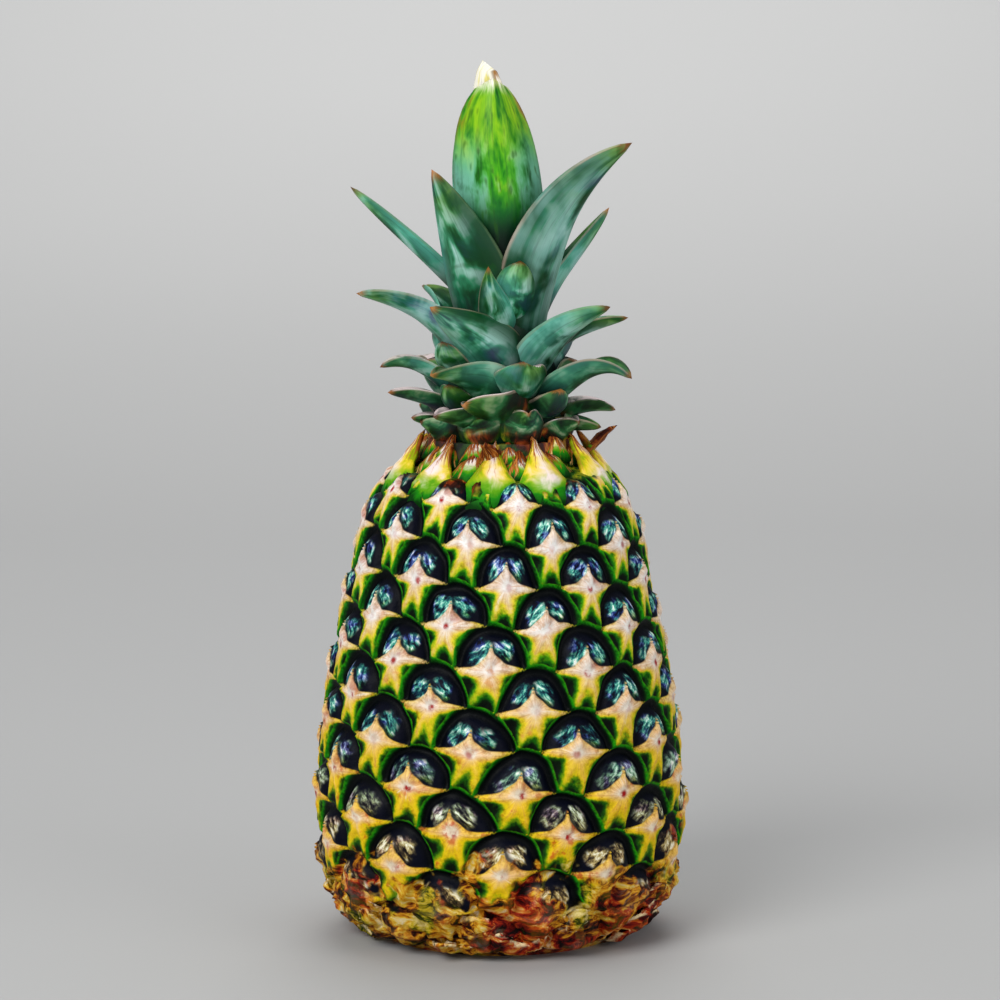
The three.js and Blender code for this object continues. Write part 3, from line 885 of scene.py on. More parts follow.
# %% The rind, as a plain mesh
HUB_HEIGHTS = (0.1 * FRUIT_HEIGHT, 0.9 * FRUIT_HEIGHT)


def close_ends(piece, hubs):
    """Closes each open loop with a fan to a hidden point on the axis."""
    mesh = bmesh.new()
    mesh.from_mesh(piece.data)
    edges = [edge for edge in mesh.edges if edge.is_boundary]
    low_hub, high_hub = [mesh.verts.new((0, 0, height * MM)) for height in hubs]
    for edge in edges:
        hub = high_hub if edge.verts[0].co.z > FRUIT_HEIGHT / 2 * MM else low_hub
        face = edge.link_faces[0]
        start = next(loop for loop in face.loops if loop.edge == edge)
        mesh.faces.new((start.link_loop_next.vert, start.vert, hub))
    mesh.to_mesh(piece.data)
    open_edges = sum(1 for edge in mesh.edges if edge.is_boundary)
    mesh.free()
    print(piece.name, "closed", len(edges), "open edges,", open_edges, "left")


rind = run_tree("fruit_rind", rind_tree(), RIND_INPUTS, rind_skin)
close_ends(rind, HUB_HEIGHTS)
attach(rind, "root")
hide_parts("fruit")

# %% [markdown]
# ## The base, the cut stalk and the neck
# Under the rind is the core that the solids also have: the face that the fruit stands on, with the
# stalk cut off level, and the flat top of the neck. A lathed profile gives all of it at once.

# %% The core, turned round the axis
STALK_RADIUS = 13
STALK_GROOVE_WIDTH = 5
STALK_GROOVE_DEPTH = 2.6
CORE_SHARES = [0.06, 0.14, 0.3, 0.5, 0.7, 0.85, 0.95]
CORE_SIDES = 96


def turned(profile, sides):
    """Points and faces of a profile turned round Z; the profile starts and ends on the axis."""
    profile = np.array(profile, float)
    turns = np.linspace(0, 2 * math.pi, sides, endpoint=False)
    rings = [np.c_[r * np.cos(turns), r * np.sin(turns), np.full(sides, z)] for r, z in profile[1:-1]]
    points = np.vstack([*rings, [[0, 0, profile[0][1]]], [[0, 0, profile[-1][1]]]])
    here = np.arange(sides)
    after = (here + 1) % sides
    faces = []
    for k in range(len(rings) - 1):
        low, high = k * sides, (k + 1) * sides
        faces += np.c_[low + here, low + after, high + after, high + here].tolist()
    last = (len(rings) - 1) * sides
    faces += [[len(points) - 2, b, a] for a, b in zip(here, after)]
    faces += [[last + a, last + b, len(points) - 1] for a, b in zip(here, after)]
    return points, faces


def at_share(share):
    run = np.concatenate([[0], np.cumsum(outline_steps)]) / OUTLINE_LENGTH
    return [np.interp(share, run, outline[:, k]) for k in (0, 1)]


def core_profile():
    inner = [(r - 2 * SKIN_SUNK, z) for r, z in map(at_share, CORE_SHARES)]
    groove_floor = (STALK_RADIUS + STALK_GROOVE_WIDTH / 3, STALK_GROOVE_DEPTH)
    groove_side = (STALK_RADIUS + STALK_GROOVE_WIDTH, 0)
    stalk = [(0, 0), (STALK_RADIUS * 0.5, 0), (STALK_RADIUS, 0), groove_floor, groove_side]
    base = [(STALK_RADIUS + 12, 0), (BASE_RADIUS - 6, 0), (BASE_RADIUS, 0)]
    return [*stalk, *base, *inner, (NECK_RADIUS, FRUIT_HEIGHT), (0, FRUIT_HEIGHT)]


def core_material():
    material, sums, shader = new_material("dry_base")
    place = sums.node("ShaderNodeTexCoord").outputs["Object"]
    spot = sums.parts(place)
    from_axis = sums.vector("LENGTH", sums.place(spot["X"], spot["Y"]))
    fibre = sums.noise(place, 420.0, detail=5.0, roughness=0.7)
    flesh = sums.ramp(
        fibre,
        (0.3, 120, 88, 52),
        (0.5, 196, 160, 104),
        (0.7, 232, 208, 160),
    )
    on_stalk = sums.between(from_axis, (STALK_RADIUS + 1) * MM, (STALK_RADIUS - 1) * MM)
    # Dry skin below, and above it the dark neck skin, whose darkness is partly painted shade under the
    # crown
    by_neck = sums.between(spot["Z"], 0.15, 0.16)
    skin = sums.mix(by_neck, dry_paint(sums, place), shaded_neck_paint(sums, place))
    sums.put(shader.inputs["Base Color"], sums.mix(on_stalk, skin, flesh))
    shader.inputs["Roughness"].default_value = 0.75
    sums.put(shader.inputs["Normal"], bumped(sums, fibre, 0.7, 0.6 * MM))
    return material


core_points, core_faces = turned(core_profile(), CORE_SIDES)
core = new_piece("fruit_base_and_neck", core_points, core_faces, core_material(), smooth=False)
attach(core, "root")
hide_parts("fruit")
print("core:", len(core_faces), "faces")

# %% [markdown]
# ## Bracts at the neck and dead skin at the base
# Just under the crown the bracts have no cups left: they stand up as a ring of broad pointed scales,
# cream and yellow with brown tips, with smaller burnt ones behind them and a few that stand off like
# hooks. Round the base the last bracts are dead and torn, and lie in crumpled flaps. All are small
# blades set round the outline by one tree of Geometry Nodes, with a seed for their sizes and turns,
# and a fine noise that crumples each copy in its own way.

# %% One bract, as a closed blade that stands up along Z with its front towards -Y
BRACT_ROWS = 9
BRACT_ACROSS = 6
BRACT_SUNK = 0.3
# The sides of a bract curve round a body of this radius
BRACT_WRAP_RADIUS = 34
# How far a bract may turn from its even place, as a share of the step to the next one
TURN_JITTER = 0.14


def blade_faces(rows, count):
    """Faces of a closed blade: rows of so many points each, and then the one at the tip."""
    here = np.arange(count)
    after = (here + 1) % count
    start = np.arange(rows - 1)[:, None] * count
    sides = np.stack([start + here, start + after, start + count + after, start + count + here], -1)
    last = (rows - 1) * count
    tips = [[last + p, last + q, rows * count] for p, q in zip(here, after)]
    foot = [[0, p + 1, p] for p in range(1, count - 1)]
    return sides.reshape(-1, 4).tolist() + tips + foot


def bract_object(name, width, length, bulge, hook, side_power, thickness):
    """A scale with a ridge down its middle; a side power over 1 draws its sides in to the tip."""
    share = np.linspace(0, 1, BRACT_ROWS + 1)[:-1, None]
    across = np.linspace(-1, 1, BRACT_ACROSS + 1)
    half = width / 2 * (1 - share) ** side_power
    ridge = bulge * (1 - np.abs(across) ** 1.4) * np.sin(math.pi * share**0.7)
    spine = -hook * share**2.5 + (half * across) ** 2 / (2 * BRACT_WRAP_RADIUS)
    rise = length * (share - BRACT_SUNK * (1 - share)) + 0 * across
    front = np.stack([half * across, spine - ridge - thickness / 2, rise], -1)
    back = np.stack([half * across, spine - 0.5 * ridge + thickness / 2, rise], -1)
    around = np.concatenate([front, back[:, ::-1]], 1)
    points = np.vstack([around.reshape(-1, 3), [[0, -hook, length]]])
    mesh = bpy.data.meshes.new(name)
    mesh.from_pydata((points * MM).tolist(), [], blade_faces(BRACT_ROWS, around.shape[1]))
    place = np.tile(np.concatenate([across, across[::-1]]), BRACT_ROWS)
    set_attribute(mesh, "bract_across", "FLOAT", "POINT", np.append(place, 0.0))
    set_attribute(mesh, "bract_along", "FLOAT", "POINT", np.append(np.repeat(share, around.shape[1]), 1.0))
    return bpy.data.objects.new(name, mesh)


# %% The tree that sets bracts round the outline
def bract_inputs(bract, count, step, start, shares, lean, roll, sizes, folds, seed, material):
    """The named inputs of one ring of bracts; a pair is a lowest and a highest value."""
    return [
        ("Bract", "Object", bract),
        ("Outline", "Object", outline_curve),
        ("Count", "Int", count),
        ("Turn step", "Float", math.radians(step)),
        ("First turn", "Float", math.radians(start)),
        ("Lowest share of the outline", "Float", shares[0]),
        ("Highest share of the outline", "Float", shares[1]),
        ("Least lean", "Float", math.radians(lean[0])),
        ("Most lean", "Float", math.radians(lean[1])),
        ("Roll", "Float", math.radians(roll)),
        ("Smallest", "Float", sizes[0]),
        ("Largest", "Float", sizes[1]),
        ("Folds", "Float", folds * MM),
        ("Seed", "Int", seed),
        ("Material", "Material", material),
    ]


def random_value(sums, low, high, seed, offset):
    node = sums.node("FunctionNodeRandomValue", data_type="FLOAT")
    sums.put(node.inputs[2], low)
    sums.put(node.inputs[3], high)
    sums.put(node.inputs["Seed"], sums.plus(seed, offset))
    return node.outputs[1]


def bract_tree(inputs):
    tree, sums, given = new_tree("bracts_round_the_outline", inputs)
    seed = given["Seed"]
    index = sums.node("GeometryNodeInputIndex").outputs[0]
    jitter = random_value(sums, -TURN_JITTER, TURN_JITTER, seed, 1.0)
    step = sums.plus(index, jitter)
    turn = sums.math("MULTIPLY_ADD", step, given["Turn step"], given["First turn"])
    low, high = given["Lowest share of the outline"], given["Highest share of the outline"]
    info = sums.node("GeometryNodeObjectInfo", {"Object": given["Outline"]})
    sample = sums.node("GeometryNodeSampleCurve", mode="FACTOR", use_all_curves=True)
    sums.put(sample.inputs["Curves"], info.outputs["Geometry"])
    sums.put(sample.inputs["Factor"], random_value(sums, low, high, seed, 2.0))
    on_line = sums.parts(sample.outputs["Position"])
    along = sums.parts(sample.outputs["Tangent"])
    x = sums.times(on_line["X"], sums.math("SINE", turn))
    y = sums.times(on_line["X"], sums.times(sums.math("COSINE", turn), -1.0))
    spot = sums.place(x, y, on_line["Z"])
    points = sums.node("GeometryNodePoints", {"Count": given["Count"], "Position": spot}).outputs[0]
    points = store(sums, points, "bract", "FLOAT", "POINT", index)
    tilt = sums.math("ARCTAN2", along["X"], along["Z"])
    tilt = sums.plus(tilt, random_value(sums, given["Least lean"], given["Most lean"], seed, 3.0))
    standing = sums.node("FunctionNodeEulerToRotation", {0: sums.place(tilt, 0.0, turn)}).outputs[0]
    back = sums.times(given["Roll"], -1.0)
    roll = sums.place(0.0, random_value(sums, back, given["Roll"], seed, 4.0), 0.0)
    rolled = sums.node("FunctionNodeRotateRotation", rotation_space="LOCAL")
    sums.put(rolled.inputs[0], standing)
    sums.put(rolled.inputs[1], sums.node("FunctionNodeEulerToRotation", {0: roll}).outputs[0])
    size = random_value(sums, given["Smallest"], given["Largest"], seed, 5.0)
    shape = sums.node("GeometryNodeObjectInfo", {"Object": given["Bract"]})
    copies = {"Points": points, "Instance": shape.outputs["Geometry"], "Scale": size}
    placed = sums.node("GeometryNodeInstanceOnPoints", {**copies, "Rotation": rolled.outputs[0]})
    real = sums.node("GeometryNodeRealizeInstances", {"Geometry": placed.outputs[0]}).outputs[0]
    finish_tree(sums, crumple(sums, real, given["Folds"], FOLD_SCALE), given)
    return tree


# %% The finish of the neck's bracts
def neck_bract_material(name, burnt_from):
    """Cream down the middle, yellow beside it, green at the foot and red brown at the tip."""
    material, sums, shader = new_material(name)
    place = sums.node("ShaderNodeTexCoord").outputs["Object"]
    across = sums.attribute("bract_across")
    side = sums.math("ABSOLUTE", across)
    along = sums.attribute("bract_along")
    blotch = sums.noise(place, 120.0, detail=3.0, roughness=0.6, distortion=0.5)
    streak_place = sums.place(sums.times(across, 3.4), along, sums.attribute("bract"))
    streaks = sums.noise(streak_place, 1.6, detail=4.0, roughness=0.65)
    flesh = sums.ramp(
        sums.drift(sums.minus(1.0, side), blotch, 2.0),
        (0.0, 150, 170, 8),
        (0.2, 224, 204, 30),
        (0.42, 244, 214, 90),
        (0.66, 246, 222, 170),
        (0.9, 248, 230, 222),
    )
    green_foot = sums.drift(along, blotch, 0.45)
    green_foot = sums.math("MULTIPLY_ADD", side, -0.16, green_foot)
    foot_green = sums.ramp(
        green_foot,
        (0.0, 4, 60, 6),
        (0.14, 24, 130, 6),
        (0.26, 120, 176, 14),
    )
    paint = sums.mix(sums.between(green_foot, 0.4, 0.2), flesh, foot_green)
    brown = sums.ramp(
        streaks,
        (0.36, 24, 8, 4),
        (0.48, 98, 32, 12),
        (0.58, 184, 104, 34),
        (0.7, 238, 200, 130),
    )
    burnt = sums.between(sums.drift(along, streaks, 2.2), burnt_from, burnt_from + 0.2)
    sums.put(shader.inputs["Base Color"], sums.mix(burnt, paint, brown))
    shader.inputs["Roughness"].default_value = 0.6
    shader.inputs["Specular IOR Level"].default_value = 0.1
    sums.put(shader.inputs["Normal"], bumped(sums, streaks, 0.5, 0.8 * MM))
    return material


def dry_flap_material():
    """Torn dead skin, paler on its edges."""
    material, sums, shader = new_material("dry_flap")
    place = sums.node("ShaderNodeTexCoord").outputs["Object"]
    side = sums.math("ABSOLUTE", sums.attribute("bract_across"))
    torn = sums.noise(place, 260.0, detail=4.0, roughness=0.65)
    edge = sums.between(side, 0.6, 1.0)
    paint = sums.cover(dry_paint(sums, place), linear(248, 226, 176), edge, sums.between(torn, 0.4, 0.6))
    sums.put(shader.inputs["Base Color"], paint)
    shader.inputs["Roughness"].default_value = 0.65
    shader.inputs["Specular IOR Level"].default_value = 0.1
    sums.put(shader.inputs["Normal"], bumped(sums, torn, 0.6, 0.8 * MM))
    return material


# %% The rings of bracts, as plain meshes
def bract_ring(name, inputs):
    piece = run_tree(name, bract_tree(inputs), inputs, inputs[-1][2])
    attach(piece, "root")
    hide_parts("fruit")
    return piece


# Width, length, bulge, hook, how the sides draw in, and thickness, in millimetres
scale = bract_object("scale_shape", 34, 22, 2.8, 1.0, 1.35, 1.2)
hook = bract_object("hook_shape", 13, 15, 2.0, 5.0, 0.8, 1.2)
flap = bract_object("flap_shape", 16, 10, 2.4, 1.5, 0.75, 0.9)
pale_bract = neck_bract_material("neck_bract", burnt_from=0.62)
burnt_bract = neck_bract_material("neck_bract_burnt", burnt_from=0.2)
dry_flap = dry_flap_material()
# Each ring says what bract_inputs asks for, in its order
BRACT_RINGS = {
    "neck_bracts": (scale, 10, 36, -7, (0.884, 0.897), (-1, 4), 5, (0.96, 1.08), 2.2, 3, pale_bract),
    "neck_bracts_inner": (scale, 11, 33, 12, (0.93, 0.95), (-2, 8), 10, (0.5, 0.66), 2.6, 8, burnt_bract),
    "neck_bracts_top": (scale, 15, 24, 5, (0.965, 0.98), (-16, -4), 14, (0.38, 0.54), 1.8, 6, burnt_bract),
    "neck_hooks": (hook, 3, 131, 80, (0.955, 0.965), (66, 78), 10, (0.9, 1.1), 3.0, 2, burnt_bract),
    "base_flaps": (flap, 52, 137.508, 20, (0.03, 0.13), (2, 16), 100, (0.55, 1.1), 6.5, 5, dry_flap),
}
for ring_name, ring in BRACT_RINGS.items():
    bract_ring(ring_name, bract_inputs(*ring))

# %% [markdown]
# ## The crown
# The crown is a short stem with thick, stiff, channelled leaves. Each leaf is one closed blade on a
# curve from its foot in the stem to its tip. The leaves at the front stand where the real ones do,
# one by one. Those at the back share out the room by the golden ratio, as in the solids, and a few
# short ones fill the two sides. Blades are written in Python, because each one has its own shape.

# %% The places of the leaves, in millimetres
CROWN_BASE = FRUIT_HEIGHT + 0.3
STEM_OUTLINE = [(23, CROWN_BASE), (21.5, 186), (19, 204), (14.5, 224), (9, 244), (4, 256)]
STEM_TOP = 258
LEAF_FOOT = 0.86
LEAF_FOOT_LENGTH = 0.35
LEAF_ROOT = 0.62
LEAF_BEND = 0.42
# How the width runs out to the tip: (1 - share ** run) ** end
POINTED = (2, 0.85)
ROUNDED = (5, 0.6)
SPEAR = (5.5, 0.6)
# Turn from the front, height of the foot, tip (right, front, up), width, slopes at foot and tip
FRONT_LEAVES = [
    (82, 180, (35.5, 6, 180), 16, 25, -5, POINTED),
    (-62, 179, (-31, 12, 184), 16, 40, 10, POINTED),
    (-12, 179, (-23, 29, 186), 22, 40, 0, POINTED),
    (18, 180, (-13, 33, 190.5), 27, 60, 15, POINTED),
    (52, 182, (21, 21, 195), 17, 75, 95, ROUNDED),
    (-52, 183, (-18, 20, 196.5), 15, 80, 95, ROUNDED),
    (-72, 184, (-39, 14, 193), 16, 40, 5, POINTED),
    (-2, 187, (-24, 32, 200.5), 23, 55, -5, POINTED),
    (-80, 190, (-42, 6, 201), 16, 50, -25, POINTED),
    (58, 186, (45.5, 22, 198.5), 21, 45, -40, POINTED),
    (24, 188, (8, 27, 205), 20, 70, 105, ROUNDED),
    (-58, 194, (-20, 16, 211), 16, 75, 100, ROUNDED),
    (84, 204, (45, 0, 218), 15, 45, 10, POINTED),
    (46, 197, (38, 24, 223.5), 23, 62, 20, POINTED),
    (16, 196, (-24, 31, 224), 22, 62, 35, POINTED),
    (-66, 204, (-50, 8, 227), 22, 60, 5, POINTED),
    (4, 207, (-4, 25, 237.5), 15, 80, 88, POINTED),
    (26, 214, (7, 18, 239), 18, 80, 100, ROUNDED),
    (96, 212, (38.5, -12, 256), 17, 78, 55, POINTED),
    (-84, 224, (-52.5, -6, 263.5), 16, 50, 42, POINTED),
    (-30, 213, (-23.5, 20, 270.5), 29, 80, 70, POINTED),
    (50, 214, (45.5, 16, 279.5), 32, 80, 35, POINTED),
]
# Short leaves on the two sides, which the front ones hide in the photo
SIDE_LEAVES = [
    (93, 186, (27, -2, 203), 24, 72, 60, ROUNDED),
    (98, 197, (24, -6, 215), 22, 76, 72, ROUNDED),
    (-97, 186, (-26, -3, 203), 23, 72, 60, ROUNDED),
    (-102, 198, (-22, -8, 215), 21, 76, 72, ROUNDED),
]
HEART_LEAVES = [
    (178, 228, (-3, -7, 299), 26, 84, 97, SPEAR),
    (92, 228, (3.5, -2, 297), 22, 86, 94, SPEAR),
    (-60, 228, (-6, 0, 307.5), 22, 80, 92, SPEAR),
    (8, 228, (-2.6, 6, 301.5), 31, 92, 88, SPEAR),
]
HEART_YOUTH = (1.0, 1.0, 0.9, 1.0)
# The front leaves with the thickest pale bloom, by their place in the list
PALE_LEAVES = (11, 13, 15, 21)
# Heights of a foot between which a leaf goes from like the others to like the lowest
LOW_LEAVES = (196, 178)
STEM_SIDES = 48
# What the stem carries in place of a leaf's patterns: dark, as a leaf is near its foot
STEM_VALUE = 0.02
# Spread, height, reach, lift, width and slopes of the lowest and the highest leaf at the back
BACK_LEAF_RANGE = np.array([(84, 180, 41, 5, 18, 42, -20), (18, 220, 35, 55, 24, 82, 50)], float)
BACK_LEAVES = 18
GOLDEN = 0.618034
COLLAR_BRACTS = 9
COLLAR_TURN = 20
COLLAR_HEIGHT = 177
COLLAR_ROOT = 0.94


def leaf_towards(turn, height, reach, lift, width, rise, fall):
    """A leaf whose tip lies straight out from its foot."""
    angle = math.radians(turn)
    tip = (reach * math.sin(angle), reach * math.cos(angle), height + lift)
    return (turn, height, tip, width, rise, fall, POINTED)


def back_leaves():
    for index in range(BACK_LEAVES):
        low, high = BACK_LEAF_RANGE
        spread, *rest = low + (high - low) * index / (BACK_LEAVES - 1)
        turn = 180 + spread * (2 * ((index * GOLDEN) % 1) - 1)
        yield leaf_towards(turn, *rest)


def collar_bracts():
    for index in range(COLLAR_BRACTS):
        reach, lift = ((29, 10), (32, 6))[index % 2]
        turn = COLLAR_TURN + index * 360 / COLLAR_BRACTS
        yield leaf_towards(turn, COLLAR_HEIGHT, reach, lift, 19, 70, 15)


# %% One leaf
LEAF_STATIONS = 26
LEAF_ACROSS = 12
LEAF_THICKNESS = 1.9
LEAF_EDGE_THICKNESS = 0.5
LEAF_CHANNEL = 1.28


def outward(turn):
    """The level direction that a leaf of this turn from the front points in."""
    angle = math.radians(turn - 90)
    return np.array([math.cos(angle), math.sin(angle), 0.0])


def unit(vector):
    return vector / np.linalg.norm(vector, axis=-1, keepdims=True)


def midrib(leaf, root):
    """The four points of the Bezier curve down the middle of a leaf."""
    turn, height, tip, _, rise, fall, _ = leaf
    out = outward(turn)
    stem_radius = np.interp(height, [z for _, z in STEM_OUTLINE], [r for r, _ in STEM_OUTLINE])
    foot = out * stem_radius * root + (0, 0, height)
    end = np.array([tip[0], -tip[1], tip[2]], float)
    chord = end - foot
    handle = np.linalg.norm(chord) * LEAF_BEND
    tip_out = unit(chord * (1, 1, 0))
    foot_out = unit(out + tip_out)

    def slope(direction, angle):
        return direction * math.cos(math.radians(angle)) + (0, 0, math.sin(math.radians(angle)))

    return foot, foot + slope(foot_out, rise) * handle, end - slope(tip_out, fall) * handle, end


def leaf_shape(leaf, root=LEAF_ROOT):
    """Points, faces and patterns of one closed blade."""
    a, b, c, d = midrib(leaf, root)
    share = np.linspace(0, 1, LEAF_STATIONS + 1)[:-1, None]
    left = 1 - share
    centre = left**3 * a + 3 * left**2 * share * b + 3 * left * share**2 * c + share**3 * d
    along = unit(left**2 * (b - a) + 2 * left * share * (c - b) + share**2 * (d - c))
    side = outward(leaf[0] + 90)
    across = unit(side - along * (along @ side)[:, None])
    inward = np.cross(along, across)
    run, end = leaf[6]
    widening = smoothstep(share[:, 0], 0, LEAF_FOOT_LENGTH)
    width = leaf[3] * (LEAF_FOOT + (1 - LEAF_FOOT) * widening) * (1 - share[:, 0] ** run) ** end
    x = np.linspace(-0.5, 0.5, LEAF_ACROSS + 1)
    curl = LEAF_CHANNEL * (1 + 0.9 * share**3)
    middle = x**2 * curl - 0.2
    lens = np.sqrt(np.maximum(1 - (2 * x) ** 2, 0))
    thick = LEAF_EDGE_THICKNESS + (LEAF_THICKNESS * (1 - 0.5 * share) - LEAF_EDGE_THICKNESS) * lens
    thick = np.minimum(thick, width[:, None] * 0.45)
    sheets = []
    for sign in (-1, 1):
        offset = middle * width[:, None] + sign * thick / 2
        sheet = centre[:, None] + across[:, None] * (x * width[:, None])[..., None]
        sheets.append(sheet + inward[:, None] * offset[..., None])
    around = np.concatenate([sheets[0], sheets[1][:, ::-1]], 1)
    points = np.vstack([around.reshape(-1, 3), [d]])
    count = around.shape[1]
    place = np.tile(np.concatenate([x, x[::-1]]), LEAF_STATIONS)
    place = np.append(place, 0.0)
    run_along = np.append(np.repeat(share[:, 0], count), 1.0)
    inner = np.tile(np.repeat([0.0, 1.0], LEAF_ACROSS + 1), LEAF_STATIONS)
    return points, blade_faces(LEAF_STATIONS, count), place, run_along, np.append(inner, 0.5)


# %% [markdown]
# ## The finish of the leaves
# The leaves are blue green with a pale waxy bloom, veins that run along them, and dry red brown
# tips. A few carry a thicker bloom, and the lowest are dark, with pinkish inner faces. The young
# blades at the heart are yellow green with cream tips. Light on one side of each leaf is painted,
# and so is shade on the other side and at the feet. Each point of a leaf knows its place across
# and along, the leaf's number, its age and how low it grows, so one material paints them all.


# %% The material of the leaves
def grown_paint(sums, across, along, number, pale, vein_place, patch, bloom):
    """Blue green in patches, with painted light on one side of each leaf and painted shade on the other."""
    tint = sums.ramp(
        bloom,
        (0.34, 4, 70, 14),
        (0.43, 6, 112, 44),
        (0.5, 18, 142, 98),
        (0.58, 70, 158, 160),
        (0.68, 122, 140, 192),
    )
    # Patches from near black to pale: the leaf's tone, with painted shade and painted light in them
    shade = sums.ramp(
        patch,
        (0.38, 0, 14, 5),
        (0.46, 2, 72, 28),
        (0.53, 24, 142, 88),
        (0.63, 176, 224, 206),
    )
    body = sums.mix(sums.between(sums.chance(number, 0.5), 0.0, 1.0, 0.15, 0.45), shade, tint)
    waxy = sums.times(sums.between(patch, 0.42, 0.74), sums.between(along, 0.15, 0.5))
    frost = sums.noise(vein_place, 0.5, detail=3.0, roughness=0.55)
    frosty = sums.times(pale, sums.between(patch, 0.38, 0.54), sums.between(frost, 0.36, 0.58, 0.2, 1.2))
    body = sums.cover(body, linear(164, 212, 204), sums.math("MAXIMUM", waxy, frosty), 0.56)
    # Painted light on one side of the leaf, painted shade on the other
    which_side = sums.between(sums.chance(number, 0.7), 0.45, 0.55, -1.0, 1.0)
    light_to_shade = sums.times(across, which_side)
    body = sums.mix(sums.between(light_to_shade, -0.05, -0.5, 0.0, 0.55), body, linear(98, 192, 170))
    shaded = sums.between(light_to_shade, 0.0, 0.45)
    return sums.cover(body, linear(0, 58, 24), shaded, sums.between(pale, 0.0, 1.0, 0.9, 0.55))


def young_paint(sums, across, from_middle, along, number, youth):
    """Yellow green streaks above, a pale bloom beside them, and a cream tip; towards the foot it goes near
    black, a painted shade.
    """
    young_place = sums.place(sums.times(across, 7.0), sums.times(along, 5.0), number)
    young_patch = sums.noise(young_place, 1.0, detail=3.0, roughness=0.55, distortion=0.3)
    young = sums.ramp(
        young_patch,
        (0.3, 8, 78, 8),
        (0.42, 34, 136, 10),
        (0.54, 74, 176, 12),
        (0.68, 140, 204, 30),
    )
    golden = sums.between(young_patch, 0.34, 0.6)
    young = sums.cover(young, linear(170, 206, 16), sums.between(along, 0.55, 0.9), golden, 0.55)
    frosted = sums.between(sums.drift(from_middle, young_patch, 0.9), 0.12, 0.36)
    young = sums.cover(young, linear(126, 196, 174), frosted, sums.between(along, 0.82, 0.5), 0.85)
    # Towards the foot the young blade darkens: painted shade
    young = sums.mix(sums.between(along, 0.55, 0.25), young, linear(4, 84, 36))
    young = sums.mix(sums.between(along, 0.38, 0.18), young, linear(1, 22, 10))
    speck = sums.noise(young_place, 2.0, detail=1.0)
    young = sums.mix(sums.between(speck, 0.58, 0.74, 0.0, 0.7), young, linear(36, 96, 8))
    cream_from = sums.between(youth, 0.9, 1.0, 0.76, 0.93)
    creamy = sums.between(sums.drift(along, young_patch, 0.14), cream_from, sums.plus(cream_from, 0.08))
    white_tip = sums.mix(sums.between(young_patch, 0.4, 0.52), linear(224, 212, 120), linear(242, 238, 220))
    young = sums.mix(creamy, young, white_tip)
    return sums.cover(
        young,
        linear(150, 100, 30),
        sums.between(from_middle, 0.38, 0.48),
        sums.between(along, 0.7, 0.9),
        sums.between(speck, 0.4, 0.55),
    )


